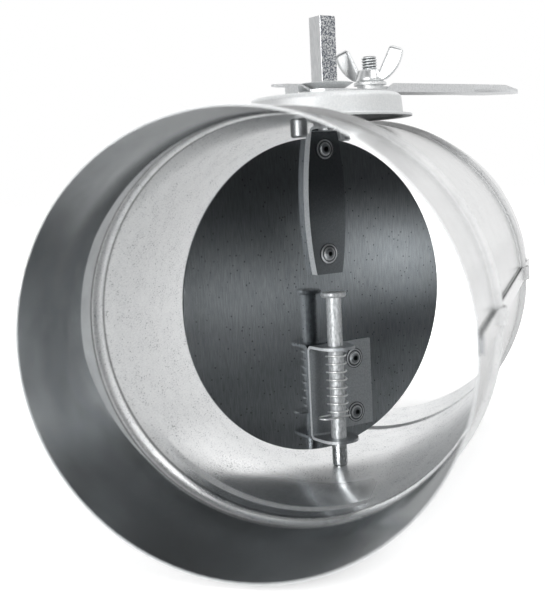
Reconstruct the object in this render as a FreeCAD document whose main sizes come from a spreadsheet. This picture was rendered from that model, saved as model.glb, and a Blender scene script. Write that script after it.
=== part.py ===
"""Round air damper: a sleeve of galvanised duct with one round blade, turned by a lever on a square rod.

Frame: the origin is the centre of the inlet rim, +Y runs down the duct, and +Z points up along the pivot
axis. Lengths are millimetres. Every moving piece is drawn with the blade closed, its pivot axis on the
drawing's Z axis, and is then turned about that axis to the opening at which the damper rests.
"""

import FreeCAD, Part
import math
import os
import re

import Sketcher

V = FreeCAD.Vector

# Driving dimensions, one row of the sheet each

SIZES = [
    ("bore_diameter", 177.8, "inside of the sleeve, a 7 in duct"),
    ("casing_sheet", 0.8, "sheet of the sleeve"),
    ("casing_length", 298.0, "rim to rim"),
    ("pivot_station", 162.0, "inlet rim to the pivot axis"),
    ("inlet_bead_station", 71.0, "inlet rim to the middle of its bead"),
    ("outlet_bead_station", 55.5, "outlet rim to the middle of its bead"),
    ("bead_width", 10.0, "bead measured along the duct"),
    ("bead_height", 2.8, "bead above the sleeve"),
    ("bead_shoulder", 1.4, "soft corner where a bead leaves the wall"),
    ("seam_turn", 1.5, "degrees that the seam lies above the duct's side"),
    ("seam_width", 7.0, "grooved lock seam, measured round the duct"),
    ("seam_height", 1.7, "seam above the sleeve"),
    ("seam_lip", 0.6, "outer fold of the seam"),
    ("seam_slit_depth", 1.6, "how far the open edge of the fold runs in"),
    ("blade_diameter", 162.8, "round blade"),
    ("blade_sheet", 1.2, "sheet of the blade"),
    ("blade_setback", 11.1, "pivot axis to the front face of the blade"),
    ("rest_opening", 50.0, "degrees from closed at which the damper rests"),
    ("quadrant_travel", 90.0, "degrees from closed to fully open"),
    ("rod_side", 9.525, "square rod, 3/8 in"),
    ("rod_corner", 0.4, "rounded edges of the rod"),
    ("rod_above_casing", 50.8, "sleeve to the top of the rod"),
    ("tenon_side", 6.0, "rod's lower end where it passes the ear"),
    ("peen_diameter", 8.2, "riveted-over end of the tenon"),
    ("peen_height", 1.3, "riveted-over end of the tenon"),
    ("bearing_clearance", 0.08, "running fit of a turning piece"),
    ("casing_clearance", 0.9, "sleeve's hole round the rod"),
    ("rivet_clearance", 0.05, "rivet in its hole"),
    ("fit_clearance", 0.05, "rod or tenon in its square hole"),
    ("dial_radius", 38.8, "body of the pressed dial, at its foot"),
    ("dial_draft", 1.0, "how far the body narrows to its top"),
    ("dial_height", 11.7, "sleeve to the top of the dial"),
    ("dial_sheet", 1.0, "sheet of the dial"),
    ("dial_corner", 3.0, "outside bend at the dial's top"),
    ("flange_radius", 43.2, "dial's flange"),
    ("dial_rivet_station", 46.0, "rivet fore and aft of the pivot axis"),
    ("dial_rivet_side", -2.0, "rivet beside the duct's top line"),
    ("dial_lobe_radius", 7.4, "lobe of the flange round each rivet"),
    ("screw_station", 29.2, "pivot axis to the lock screw"),
    ("slot_width", 8.6, "arc slot of the dial"),
    ("slot_overrun", 5.0, "degrees that the slot runs past each end of the travel"),
    ("washer_sheet", 1.5, "every washer"),
    ("hub_washer_radius", 15.0, "washer under the lever round the rod"),
    ("lever_washer_radius", 8.0, "washer under the lever round the screw"),
    ("nut_washer_radius", 8.4, "washer under the wing nut"),
    ("washer_bevel", 0.3, "worn upper edge of every washer"),
    ("lock_washer_radius", 6.7, "split ring on the lever, under the nut's washer"),
    ("lock_washer_sheet", 2.6, "split ring, as it stands clamped"),
    ("lock_washer_gap", 1.2, "cut through the split ring"),
    ("retainer_sheet", 0.9, "dished washer that holds the lever down on the rod"),
    ("retainer_floor_radius", 9.0, "flat of the dished washer"),
    ("retainer_rim_radius", 14.4, "rim of the dished washer"),
    ("retainer_height", 3.1, "rim of the dished washer above the lever"),
    ("lever_sheet", 1.5, "sheet of the lever"),
    ("lever_hub_radius", 12.8, "lever round the rod"),
    ("lever_reach", 135.0, "pivot axis to the lever's tip"),
    ("lever_root_half_width", 10.0, "lever beside the screw"),
    ("lever_tip_half_width", 7.4, "lever near its tip"),
    ("lever_paddle", 1.6, "how far the grip stands out past the channel"),
    ("lever_flange_start", 33.0, "where the upturned edges begin"),
    ("lever_flange_height", 4.5, "upturned edges, from the lever's underside"),
    ("lever_taper", 13.0, "length over which the edges run out at the tip"),
    ("pointer_reach", 31.4, "pivot axis to the pointer's tip"),
    ("pointer_half_width", 4.2, "pointer at its root"),
    ("pointer_tip_half_width", 1.2, "pointer at its tip"),
    ("pointer_rise", 3.2, "pointer's underside above the lever's"),
    ("pointer_sheet", 1.0, "pressed thinner than the lever"),
    ("pointer_ramp_start", 11.0, "pivot axis to the foot of the ramp up to the pointer"),
    ("pointer_ramp_length", 6.3, "ramp up to the pointer, along the lever"),
    ("lug_station", 22.8, "pivot axis to the middle of the pointer's lug"),
    ("lug_width", 7.0, "down-bent lug of the pointer"),
    ("lug_gap", 0.4, "lug above the dial"),
    ("screw_diameter", 7.94, "lock screw, 5/16 in"),
    ("screw_head_radius", 5.3, "round head inside the dial"),
    ("screw_head_height", 3.2, "round head inside the dial"),
    ("screw_above_lever", 17.2, "lever's upper face to the end of the screw"),
    ("screw_clearance", 0.2, "screw in the lever and the washers"),
    ("thread_clearance", 0.05, "screw in the wing nut"),
    ("nut_foot_radius", 7.2, "hub of the wing nut where it bears"),
    ("nut_crown_radius", 5.8, "hub of the wing nut at its top"),
    ("nut_height", 6.2, "hub of the wing nut"),
    ("nut_rest_turn", -61.0, "degrees from the lever to the wings"),
    ("wing_span", 18.8, "nut's axis to the tip of a wing"),
    ("wing_height", 18.5, "nut's base to the top of a wing"),
    ("wing_breadth", 6.8, "across a wing at its tip"),
    ("wing_curve", 18.8, "outer edge of a wing"),
    ("wing_sheet", 3.0, "thickness of a wing"),
    ("bracket_sheet", 1.5, "sheet of both brackets"),
    ("rod_bracket_depth", 4.4, "rod bracket's face above the blade"),
    ("rod_bracket_left", 4.7, "its left edge, from the pivot axis"),
    ("rod_bracket_right", 11.7, "its right edge, from the pivot axis"),
    ("rod_bracket_foot", 11.2, "its lower end above the duct's axis"),
    ("rod_bracket_swell", 3.4, "how far its sides bow out"),
    ("rod_bracket_bend", 1.8, "inside bend under its ear"),
    ("rod_ear_reach", 10.0, "pivot axis to the front of the ear"),
    ("rod_ear_gap", 0.9, "ear's corners below the sleeve"),
    ("rod_rivet_across", 3.3, "bracket rivets, from the pivot axis"),
    ("rod_rivet_rim", 6.0, "upper rivet below the blade's rim"),
    ("rod_rivet_low", 21.7, "lower rivet above the duct's axis"),
    ("rivet_radius", 2.4, "body of a bracket rivet, 3/16 in"),
    ("dial_rivet_radius", 3.2, "body of a dial rivet, 1/4 in"),
    ("rivet_flange", 0.9, "flange of its head, at the boss"),
    ("rivet_boss_radius", 3.2, "boss round its eye"),
    ("rivet_boss_height", 1.6, "boss round its eye, from the face it grips"),
    ("rivet_eye_radius", 1.2, "hole left by its mandrel"),
    ("blade_rivet_head", 5.4, "head of a bracket rivet"),
    ("dial_rivet_head", 5.6, "head of a dial rivet"),
    ("rivet_swell", 0.8, "how far its blind end swells past its body"),
    ("blade_rivet_tail", 4.0, "blind end of a rivet behind the blade"),
    ("dial_rivet_tail", 8.6, "blind end of a dial rivet inside the duct"),
    ("pin_bracket_rim", 6.0, "lower ear's lower face above the blade's rim"),
    ("pin_bracket_height", 50.0, "lower ear's lower face to the upper ear's upper face"),
    ("pin_bracket_right", 30.4, "plate's right edge, from the pivot axis"),
    ("pin_bracket_bend", 1.5, "inside bend of its ears"),
    ("pin_ear_radius", 10.0, "rounded ears about the pin"),
    ("pin_rivet_across", 19.2, "bracket rivets, from the pivot axis"),
    ("pin_rivet_drop", 10.2, "upper rivet below the bracket's top"),
    ("pin_rivet_rise", 10.4, "lower rivet above the bracket's foot"),
    ("pin_diameter", 7.94, "spring pin, 5/16 in"),
    ("pin_clearance", 0.08, "pin in its ears and in the sleeve"),
    ("pin_head_radius", 6.6, "flat head of the pin"),
    ("pin_head_height", 2.3, "flat head of the pin"),
    ("pin_tip_diameter", 6.2, "turned-down end that enters the sleeve"),
    ("pin_tip_reach", 2.6, "end of the pin outside the sleeve"),
    ("pin_shoulder_gap", 0.3, "pin's shoulder above the sleeve's wall"),
    ("pin_shoulder_chamfer", 0.9, "bevel at the shoulder"),
    ("pin_mark_depth", 0.25, "turned line below the lower ear"),
    ("pin_mark_width", 0.8, "turned line below the lower ear"),
    ("clip_rise", 13.0, "retaining clip above the bracket's foot"),
    ("clip_wire", 1.0, "wire of the clip"),
    ("clip_groove_depth", 0.6, "groove that holds the clip"),
    ("clip_reach_left", 12.0, "closed loop of the clip, from the pin's axis"),
    ("clip_reach_right", 5.0, "open ends of the clip, from the pin's axis"),
    ("spring_wire", 0.95, "wire of the spring"),
    ("spring_outer_diameter", 11.2, "outside of the spring"),
    ("spring_turns", 8.3, "turns between the ear and the clip"),
    ("spring_gap", 0.15, "spring short of the ear and of the clip"),
]

# Places that follow from them

PLACES = [
    ("bore_radius", "bore_diameter / 2"),
    ("casing_radius", "bore_radius + casing_sheet"),
    ("bead_arc", "(bead_width ^ 2 / 4 + bead_height ^ 2) / (2 * bead_height)"),
    ("bead_centre", "casing_radius + bead_height - bead_arc"),
    ("rod_swing", "rod_side / sqrt(2) - rod_corner * (sqrt(2) - 1)"),
    ("dial_top", "casing_radius + dial_height"),
    ("lever_floor", "dial_top + bearing_clearance + washer_sheet"),
    ("lever_face", "lever_floor + lever_sheet"),
    ("nut_washer_floor", "lever_face + lock_washer_sheet"),
    ("nut_base", "nut_washer_floor + washer_sheet + bearing_clearance"),
    ("bracket_front", "blade_setback - rod_bracket_depth"),
    ("rod_ear_swing", "sqrt(rod_bracket_right ^ 2 + bracket_front ^ 2)"),
    ("rod_ear_top", "sqrt(bore_radius ^ 2 - rod_ear_swing ^ 2) - rod_ear_gap"),
    ("rod_rivet_high", "blade_diameter / 2 - rod_rivet_rim"),
    ("pin_bracket_bottom", "0 - blade_diameter / 2 + pin_bracket_rim"),
    ("pin_bracket_top", "pin_bracket_bottom + pin_bracket_height"),
    ("pin_rivet_high", "pin_bracket_top - pin_rivet_drop"),
    ("pin_rivet_low", "pin_bracket_bottom + pin_rivet_rise"),
    ("clip_station", "pin_bracket_bottom + clip_rise"),
    ("pin_radius", "pin_diameter / 2"),
    ("pin_shoulder", "0 - sqrt(bore_radius ^ 2 - pin_radius ^ 2) + pin_shoulder_gap"),
    ("pin_end", "0 - casing_radius - pin_tip_reach"),
    ("clip_leg", "pin_radius - clip_groove_depth + clip_wire / 2"),
    ("spring_radius", "spring_outer_diameter / 2 - spring_wire / 2"),
    ("spring_top", "pin_bracket_top - bracket_sheet - spring_gap - spring_wire / 2"),
    ("spring_foot", "clip_station + clip_wire / 2 + spring_gap + spring_wire / 2"),
]

doc = FreeCAD.newDocument("RoundAirDamper")
sizes = doc.addObject("Spreadsheet::Sheet", "Sizes")
for row, (alias, number, note) in enumerate(SIZES, start=1):
    sizes.set(f"A{row}", alias)
    sizes.set(f"B{row}", str(number))
    sizes.set(f"C{row}", note)
    sizes.setAlias(f"B{row}", alias)

SHEET_OF = {alias: "Sizes" for alias, number, note in SIZES}
SHEET_OF.update({alias: "Places" for alias, text in PLACES})


def formula(text):
    """Writes out which sheet each named value of the text is kept in."""
    def placed(found):
        return SHEET_OF[found.group()] + "." + found.group()

    return re.sub(r"[a-z]+(?:_[a-z]+)+", placed, text)


places = doc.addObject("Spreadsheet::Sheet", "Places")
for row, (alias, text) in enumerate(PLACES, start=1):
    places.set(f"A{row}", alias)
    places.setAlias(f"B{row}", alias)
for row, (alias, text) in enumerate(PLACES, start=1):
    places.set(f"B{row}", "=" + formula(text).replace("Places.", ""))
doc.recompute()


def value(text):
    """The number that a formula of named values stands for."""
    found = sizes.evalExpression(formula(text))
    return float(getattr(found, "Value", found))


# Sketching: every corner and radius is bound to a formula. A sketch knows its own axes as geometry -1
# (horizontal, whose first point is the origin) and -2 (vertical).


def plane_of(body, role):
    return next(item for item in body.Origin.OriginFeatures if item.Role == role)


def new_body(name):
    body = doc.addObject("PartDesign::Body", name)
    body.Label = name
    return body


def new_sketch(body, role, lift="0", turn="0"):
    """A sketch on one of the body's own planes, lifted along its normal and turned about its upright axis."""
    sketch = body.newObject("Sketcher::SketchObject", body.Label + "_sketch")
    sketch.AttachmentSupport = [(plane_of(body, role), "")]
    sketch.MapMode = "FlatFace"
    turned = FreeCAD.Rotation(V(0, 1, 0), value(turn))
    sketch.AttachmentOffset = FreeCAD.Placement(V(0, 0, value(lift)), turned)
    if lift != "0":
        sketch.setExpression("AttachmentOffset.Base.z", formula(lift))
    if turn != "0":
        sketch.setExpression("AttachmentOffset.Rotation.Angle", f"({formula(turn)}) * 1 deg")
    return sketch


def hold(sketch, kind, geometry, point, text):
    """Holds one coordinate of a point at a formula; a point on an axis is held to the axis."""
    if text == "0":
        axis = -2 if kind == "DistanceX" else -1
        sketch.addConstraint(Sketcher.Constraint("PointOnObject", geometry, point, axis))
        return
    held = sketch.addConstraint(Sketcher.Constraint(kind, -1, 1, geometry, point, value(text)))
    sketch.setExpression(f"Constraints[{held}]", formula(text))


def arc_between(start, end, shape):
    """The arc from one corner to the next: shape is (kind, formula, turn), turn 1 for anticlockwise."""
    kind, text, turn = shape
    middle = (start + end) / 2
    across = V(start.y - end.y, end.x - start.x, 0).normalize() * turn
    if kind == "Radius":
        half = (end - start).Length / 2
        centre = middle + across * math.sqrt(max(value(text) ** 2 - half**2, 0))
    elif kind == "DistanceX":
        centre = middle + across * ((value(text) - middle.x) / across.x if abs(across.x) > 1e-9 else 0)
    else:
        centre = middle + across * ((value(text) - middle.y) / across.y if abs(across.y) > 1e-9 else 0)
    radius = (start - centre).Length
    first, last = (start, end) if turn > 0 else (end, start)
    angles = [math.atan2(point.y - centre.y, point.x - centre.x) for point in (first, last)]
    if angles[1] < angles[0]:
        angles[1] += 2 * math.pi
    return Part.ArcOfCircle(Part.Circle(centre, V(0, 0, 1), radius), *angles)


def outline(sketch, *corners):
    """Closes a loop through corners (x, y) or (x, y, arc), where arc shapes the run to the next corner."""
    points = [V(value(corner[0]), value(corner[1]), 0) for corner in corners]
    edges = []
    for index, corner in enumerate(corners):
        start, end = points[index], points[(index + 1) % len(points)]
        if len(corner) == 2:
            edges.append((sketch.addGeometry(Part.LineSegment(start, end)), 1, 2))
            continue
        arc = sketch.addGeometry(arc_between(start, end, corner[2]))
        edges.append((arc, 1, 2) if corner[2][2] > 0 else (arc, 2, 1))
    for index, corner in enumerate(corners):
        edge, start, end = edges[index]
        following, next_start, next_end = edges[(index + 1) % len(edges)]
        sketch.addConstraint(Sketcher.Constraint("Coincident", edge, end, following, next_start))
        hold(sketch, "DistanceX", edge, start, corner[0])
        hold(sketch, "DistanceY", edge, start, corner[1])
        if len(corner) == 2:
            continue
        kind, text, turn = corner[2]
        if kind != "Radius":
            hold(sketch, kind, edge, 3, text)
            continue
        held = sketch.addConstraint(Sketcher.Constraint("Radius", edge, value(text)))
        sketch.setExpression(f"Constraints[{held}]", formula(text))


def circle(sketch, x, y, radius):
    drawn = sketch.addGeometry(Part.Circle(V(value(x), value(y), 0), V(0, 0, 1), value(radius)))
    hold(sketch, "DistanceX", drawn, 3, x)
    hold(sketch, "DistanceY", drawn, 3, y)
    held = sketch.addConstraint(Sketcher.Constraint("Radius", drawn, value(radius)))
    sketch.setExpression(f"Constraints[{held}]", formula(radius))


def rectangle(sketch, left, right, low, high):
    outline(sketch, (left, low), (right, low), (right, high), (left, high))


# Features

def extrude(kind, sketch, length, backwards=False, both_ways=False):
    body = sketch.getParentGeoFeatureGroup()
    feature = body.newObject("PartDesign::" + kind, sketch.Name + "_" + kind.lower())
    feature.Profile = sketch
    feature.Reversed = backwards
    if both_ways:
        feature.SideType = "Symmetric"
    feature.Length = value(length)
    feature.setExpression("Length", formula(length))
    doc.recompute()
    return feature


def pad(sketch, length, backwards=False, both_ways=False):
    return extrude("Pad", sketch, length, backwards, both_ways)


def pocket(sketch, length, backwards=False, both_ways=False):
    before = sketch.getParentGeoFeatureGroup().Shape.Volume
    feature = extrude("Pocket", sketch, length, backwards, both_ways)
    if feature.Shape.Volume > before - 1e-3:
        raise RuntimeError(feature.Name + " cuts nothing")
    return feature


def revolve(sketch, kind="Revolution", angle="360", both_ways=False):
    """Turns a profile about the sketch's vertical axis."""
    body = sketch.getParentGeoFeatureGroup()
    feature = body.newObject("PartDesign::" + kind, sketch.Name + "_" + kind.lower())
    feature.Profile = sketch
    feature.ReferenceAxis = (sketch, ["V_Axis"])
    feature.Midplane = both_ways
    feature.Angle = value(angle)
    feature.setExpression("Angle", formula(angle))
    doc.recompute()
    return feature


def round_edges(body, radius, wanted):
    """Rounds every edge that the test picks."""
    base = body.Tip
    names = [f"Edge{number}" for number, edge in enumerate(base.Shape.Edges, start=1) if wanted(edge)]
    if not names:
        raise RuntimeError(body.Label + " has no edge to round")
    feature = body.newObject("PartDesign::Fillet", body.Label + "_fillet")
    feature.Base = (base, names)
    feature.Radius = value(radius)
    feature.setExpression("Radius", formula(radius))
    doc.recompute()
    return feature


def ring_at(radius, height, axis="z"):
    """A test for the full circles of one radius at one height along the drawing's axis."""
    def wanted(edge):
        if not isinstance(edge.Curve, Part.Circle):
            return False
        centre = getattr(edge.Curve.Center, axis)
        return abs(edge.Curve.Radius - value(radius)) < 1e-3 and abs(centre - value(height)) < 1e-3
    return wanted


def upright_at(*places):
    """A test for the edges along Z that stand at one of the places (x, y)."""
    def wanted(edge):
        ends = [vertex.Point for vertex in edge.Vertexes]
        if len(ends) != 2:
            return False
        run = ends[0] - ends[1]
        if abs(run.z) < 1e-6 or math.hypot(run.x, run.y) > 1e-6:
            return False
        return any(math.hypot(ends[0].x - value(x), ends[0].y - value(y)) < 1e-3 for x, y in places)
    return wanted


def seat(body, x="0", y="0", z="0", turned=True):
    """Puts a body at its place beside the pivot axis, and turns it with the blade."""
    angle = "(rest_opening * 1 deg)" if turned else "(0 deg)"
    across = f"({x}) * cos{angle} - ({y}) * sin{angle}"
    along = f"pivot_station + ({x}) * sin{angle} + ({y}) * cos{angle}"
    body.setExpression("Placement.Base.x", formula(across))
    body.setExpression("Placement.Base.y", formula(along))
    body.setExpression("Placement.Base.z", formula(z))
    if turned:
        body.setExpression("Placement.Rotation.Angle", formula("rest_opening * 1 deg"))
    doc.recompute()
    return body


# Sleeve

def beaded_strip(sketch, inside, outside):
    """The run of the wall past both beads, from one height above the sleeve's outside to another."""
    near, far = "inlet_bead_station", "casing_length - outlet_bead_station"
    half = {
        level: f"sqrt((bead_arc + ({level})) ^ 2 - (casing_radius + ({level}) - bead_centre) ^ 2)"
        for level in (inside, outside)
    }
    corners = [(f"casing_radius + ({outside})", "0")]
    for middle in (near, far):
        bulge = ("Radius", f"bead_arc + ({outside})", 1)
        corners.append((f"casing_radius + ({outside})", f"{middle} - {half[outside]}", bulge))
        corners.append((f"casing_radius + ({outside})", f"{middle} + {half[outside]}"))
    corners.append((f"casing_radius + ({outside})", "casing_length"))
    corners.append((f"casing_radius + ({inside})", "casing_length"))
    for middle in (far, near):
        bulge = ("Radius", f"bead_arc + ({inside})", -1)
        corners.append((f"casing_radius + ({inside})", f"{middle} + {half[inside]}", bulge))
        corners.append((f"casing_radius + ({inside})", f"{middle} - {half[inside]}"))
    corners.append((f"casing_radius + ({inside})", "0"))
    outline(sketch, *corners)


def make_casing():
    """Rolled sleeve with a bead behind each collar and a lock seam along one side."""
    body = new_body("casing")
    wall = new_sketch(body, "XY_Plane")
    beaded_strip(wall, "-casing_sheet", "0")
    revolve(wall)

    def bead_root(edge):
        if not isinstance(edge.Curve, Part.Circle) or abs(edge.Curve.Radius - value("casing_radius")) > 1e-3:
            return False
        return 1 < edge.Curve.Center.y < value("casing_length") - 1

    round_edges(body, "bead_shoulder", bead_root)
    seam = new_sketch(body, "XY_Plane", turn="0 - seam_turn")
    beaded_strip(seam, "-casing_sheet / 2", "seam_height")
    revolve(seam, angle="seam_width / casing_radius * 180 / pi", both_ways=True)
    edge_turn = "(seam_width - seam_slit_depth) / casing_radius * 90 / pi"
    slit = new_sketch(body, "XY_Plane", turn=f"0 - seam_turn - {edge_turn}")
    beaded_strip(slit, "seam_lip / 2", "seam_height - seam_lip")
    revolve(slit, kind="Groove", angle="seam_slit_depth * 1.05 / casing_radius * 180 / pi", both_ways=True)
    top = new_sketch(body, "XY_Plane")
    circle(top, "0", "pivot_station", "rod_swing + casing_clearance")
    for side in ("-", "+"):
        station = f"pivot_station {side} dial_rivet_station"
        circle(top, "dial_rivet_side", station, "dial_rivet_radius + rivet_clearance")
    pocket(top, "bore_diameter", backwards=True)
    bottom = new_sketch(body, "XY_Plane")
    circle(bottom, "0", "pivot_station", "pin_tip_diameter / 2 + pin_clearance")
    pocket(bottom, "bore_diameter")
    return body


# Dial

def make_dial():
    """Pressed dish with a flange on the duct, an arc slot for the lock screw and a hole for the rod."""
    body = new_body("dial_plate")
    dish = new_sketch(body, "XZ_Plane")
    top, inner_top = "dial_height", "(dial_height - dial_sheet)"
    outline(
        dish,
        ("rod_swing + bearing_clearance", inner_top),
        ("rod_swing + bearing_clearance", top),
        ("dial_radius - dial_draft", top),
        ("dial_radius", "dial_sheet"),
        ("flange_radius", "dial_sheet"),
        ("flange_radius", "0"),
        ("dial_radius - dial_sheet", "0"),
        ("dial_radius - dial_draft - dial_sheet", inner_top),
    )
    revolve(dish)
    round_edges(body, "dial_corner", ring_at("dial_radius - dial_draft", top))
    round_edges(body, "dial_corner - dial_sheet", ring_at("dial_radius - dial_draft - dial_sheet", inner_top))
    round_edges(body, "dial_sheet", ring_at("dial_radius", "dial_sheet"))
    round_edges(body, "dial_sheet * 1.5", ring_at("dial_radius - dial_sheet", "0"))
    for side in ("-", "+"):
        lobe = new_sketch(body, "XY_Plane")
        station = f"{side}dial_rivet_station"
        circle(lobe, "dial_rivet_side", station, "dial_lobe_radius")
        pad(lobe, "dial_sheet")
        hole = new_sketch(body, "XY_Plane")
        circle(hole, "dial_rivet_side", station, "dial_rivet_radius + rivet_clearance")
        pocket(hole, "dial_sheet", backwards=True)
    slot = new_sketch(body, "XY_Plane", lift="dial_height")
    first = "(0 - slot_overrun) * 1 deg"
    last = "(quadrant_travel + slot_overrun) * 1 deg"
    inner, outer = "(screw_station - slot_width / 2)", "(screw_station + slot_width / 2)"
    first_end = ("DistanceY", f"screw_station * sin({first})", 1)
    last_end = ("DistanceX", f"screw_station * cos({last})", 1)
    outline(
        slot,
        (f"{inner} * cos({first})", f"{inner} * sin({first})", first_end),
        (f"{outer} * cos({first})", f"{outer} * sin({first})", ("Radius", outer, 1)),
        (f"{outer} * cos({last})", f"{outer} * sin({last})", last_end),
        (f"{inner} * cos({last})", f"{inner} * sin({last})", ("Radius", inner, -1)),
    )
    pocket(slot, "dial_sheet * 2")
    return seat(body, z="casing_radius", turned=False)


# Blade and the rod's bracket

def make_blade():
    """Flat round blade, set back behind its pivot axis."""
    body = new_body("blade")
    disc = new_sketch(body, "XZ_Plane", lift="0 - blade_setback")
    circle(disc, "0", "0", "blade_diameter / 2")
    for across, height in (
        ("rod_rivet_across", "rod_rivet_high"),
        ("rod_rivet_across", "rod_rivet_low"),
        ("pin_rivet_across", "pin_rivet_high"),
        ("pin_rivet_across", "pin_rivet_low"),
    ):
        circle(disc, across, height, "rivet_radius + rivet_clearance")
    pad(disc, "blade_sheet", backwards=True)
    return seat(body)


def bowed_strip(sketch, inset, low, high):
    """The rod bracket's face: a strip whose sides bow outwards, narrowed by an inset."""
    reach = f"(({high}) - ({low}))"
    bow = ("Radius", f"({reach} ^ 2 / 4 + rod_bracket_swell ^ 2) / (2 * rod_bracket_swell)", 1)
    left, right = f"0 - rod_bracket_left + ({inset})", f"rod_bracket_right - ({inset})"
    outline(sketch, (left, low), (right, low, bow), (right, high), (left, high, bow))


def make_rod_bracket():
    """Shallow bowed channel on the blade, its upper end bent forward into the ear that carries the rod."""
    body = new_body("rod_bracket")
    bend_level = "rod_ear_top - rod_bracket_bend - bracket_sheet"
    face = new_sketch(body, "XZ_Plane", lift="0 - blade_setback")
    bowed_strip(face, "0", "rod_bracket_foot", bend_level)
    pad(face, "rod_bracket_depth")
    hollow = new_sketch(body, "XZ_Plane", lift="0 - blade_setback")
    bowed_strip(hollow, "bracket_sheet", "rod_bracket_foot", bend_level)
    pocket(hollow, "rod_bracket_depth - bracket_sheet", backwards=True)
    inside_bend = ("Radius", "rod_bracket_bend", -1)
    ear = new_sketch(body, "YZ_Plane", lift="(rod_bracket_right - rod_bracket_left) / 2")
    outline(
        ear,
        ("bracket_front", bend_level),
        ("bracket_front + bracket_sheet", bend_level, ("Radius", "rod_bracket_bend + bracket_sheet", 1)),
        ("bracket_front - rod_bracket_bend", "rod_ear_top"),
        ("0 - rod_ear_reach", "rod_ear_top"),
        ("0 - rod_ear_reach", "rod_ear_top - bracket_sheet"),
        ("bracket_front - rod_bracket_bend", "rod_ear_top - bracket_sheet", inside_bend),
    )
    pad(ear, "rod_bracket_left + rod_bracket_right", both_ways=True)
    ear_front = "0 - rod_ear_reach"
    front_corners = [("0 - rod_bracket_left", ear_front), ("rod_bracket_right", ear_front)]
    round_edges(body, "rod_ear_reach * 0.6", upright_at(*front_corners))
    holes = new_sketch(body, "XZ_Plane", lift="0 - bracket_front")
    for height in ("rod_rivet_high", "rod_rivet_low"):
        circle(holes, "rod_rivet_across", height, "rivet_radius + rivet_clearance")
    pocket(holes, "bracket_sheet * 2", both_ways=True)
    square = new_sketch(body, "XY_Plane", lift="rod_ear_top")
    half = "(tenon_side / 2 + fit_clearance)"
    rectangle(square, f"0 - {half}", half, f"0 - {half}", half)
    pocket(square, "bracket_sheet")
    return seat(body)


def make_square_rod():
    """Square rod, shouldered to a square tenon that is riveted over under the ear."""
    body = new_body("square_rod")
    shank = new_sketch(body, "XY_Plane", lift="rod_ear_top")
    rectangle(shank, "0 - rod_side / 2", "rod_side / 2", "0 - rod_side / 2", "rod_side / 2")
    pad(shank, "casing_radius + rod_above_casing - rod_ear_top")
    corners = [(f"{x} * rod_side / 2", f"{y} * rod_side / 2") for x in ("-1", "1") for y in ("-1", "1")]
    round_edges(body, "rod_corner", upright_at(*corners))
    tenon = new_sketch(body, "XY_Plane", lift="rod_ear_top")
    rectangle(tenon, "0 - tenon_side / 2", "tenon_side / 2", "0 - tenon_side / 2", "tenon_side / 2")
    pad(tenon, "bracket_sheet", backwards=True)
    peen = new_sketch(body, "XY_Plane", lift="rod_ear_top - bracket_sheet")
    circle(peen, "0", "0", "peen_diameter / 2")
    pad(peen, "peen_height", backwards=True)
    peen_end = ring_at("peen_diameter / 2", "rod_ear_top - bracket_sheet - peen_height")
    round_edges(body, "peen_height * 0.7", peen_end)
    return seat(body)


# Blind rivets

def make_rivet(name, grip, tail, head, shank, upright):
    """Blind rivet with its mandrel pulled: flanged head at the origin, hollow body, swollen blind end."""
    body = new_body(name)
    profile = new_sketch(body, "XZ_Plane" if upright else "XY_Plane")
    side = "-1" if upright else "1"
    end = f"{grip} + {tail}"
    eye_floor = f"{grip} + {tail} / 2"

    def down(text):
        return f"{side} * ({text})"

    crown = ("Radius", "rivet_boss_radius", -1 if upright else 1)
    outline(
        profile,
        ("0", down(eye_floor)),
        ("rivet_eye_radius", down(eye_floor)),
        ("rivet_eye_radius", down("0 - rivet_boss_height"), crown),
        ("rivet_boss_radius", down("0 - rivet_flange")),
        (head, down("0 - rivet_flange / 2")),
        (head, "0"),
        (shank, "0"),
        (shank, down(grip)),
        (f"{shank} + rivet_swell", down(f"{grip} + rivet_swell")),
        (f"{shank} + rivet_swell", down(f"{end} - rivet_swell")),
        (shank, down(end)),
        ("0", down(end)),
    )
    revolve(profile)
    return body


def make_bracket_rivet(name, across, depth, height, grip):
    rivet = make_rivet(name, grip, "blade_rivet_tail", "blade_rivet_head", "rivet_radius", upright=False)
    return seat(rivet, x=across, y=depth, z=height)


def make_dial_rivet(name, side):
    fall = "(bore_radius - sqrt(bore_radius ^ 2 - (dial_rivet_radius - dial_rivet_side) ^ 2))"
    grip = f"dial_sheet + casing_sheet + {fall} + rivet_clearance"
    rivet = make_rivet(name, grip, "dial_rivet_tail", "dial_rivet_head", "dial_rivet_radius", upright=True)
    station = f"{side}dial_rivet_station"
    return seat(rivet, x="dial_rivet_side", y=station, z="casing_radius + dial_sheet", turned=False)


# Lever and lock

def make_washer(name, radius, hole, x, z):
    """Flat washer, its upper edge bevelled."""
    body = new_body(name)
    section = new_sketch(body, "XZ_Plane")
    outline(
        section,
        (hole, "0"),
        (radius, "0"),
        (radius, "washer_sheet - washer_bevel"),
        (f"{radius} - washer_bevel", "washer_sheet"),
        (hole, "washer_sheet"),
    )
    revolve(section)
    return seat(body, x=x, z=z)


def make_lock_washer():
    """Split spring ring, cut through on the side away from the rod."""
    body = new_body("lock_washer")
    ring = new_sketch(body, "XY_Plane")
    circle(ring, "0", "0", "lock_washer_radius")
    circle(ring, "0", "0", "screw_diameter / 2 + screw_clearance")
    pad(ring, "lock_washer_sheet")
    cut = new_sketch(body, "XY_Plane")
    half = "lock_washer_gap / 2"
    rectangle(cut, "screw_diameter / 4", "lock_washer_radius * 1.2", f"0 - {half}", half)
    pocket(cut, "lock_washer_sheet", backwards=True)
    return seat(body, x="screw_station", z="lever_face")


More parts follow.
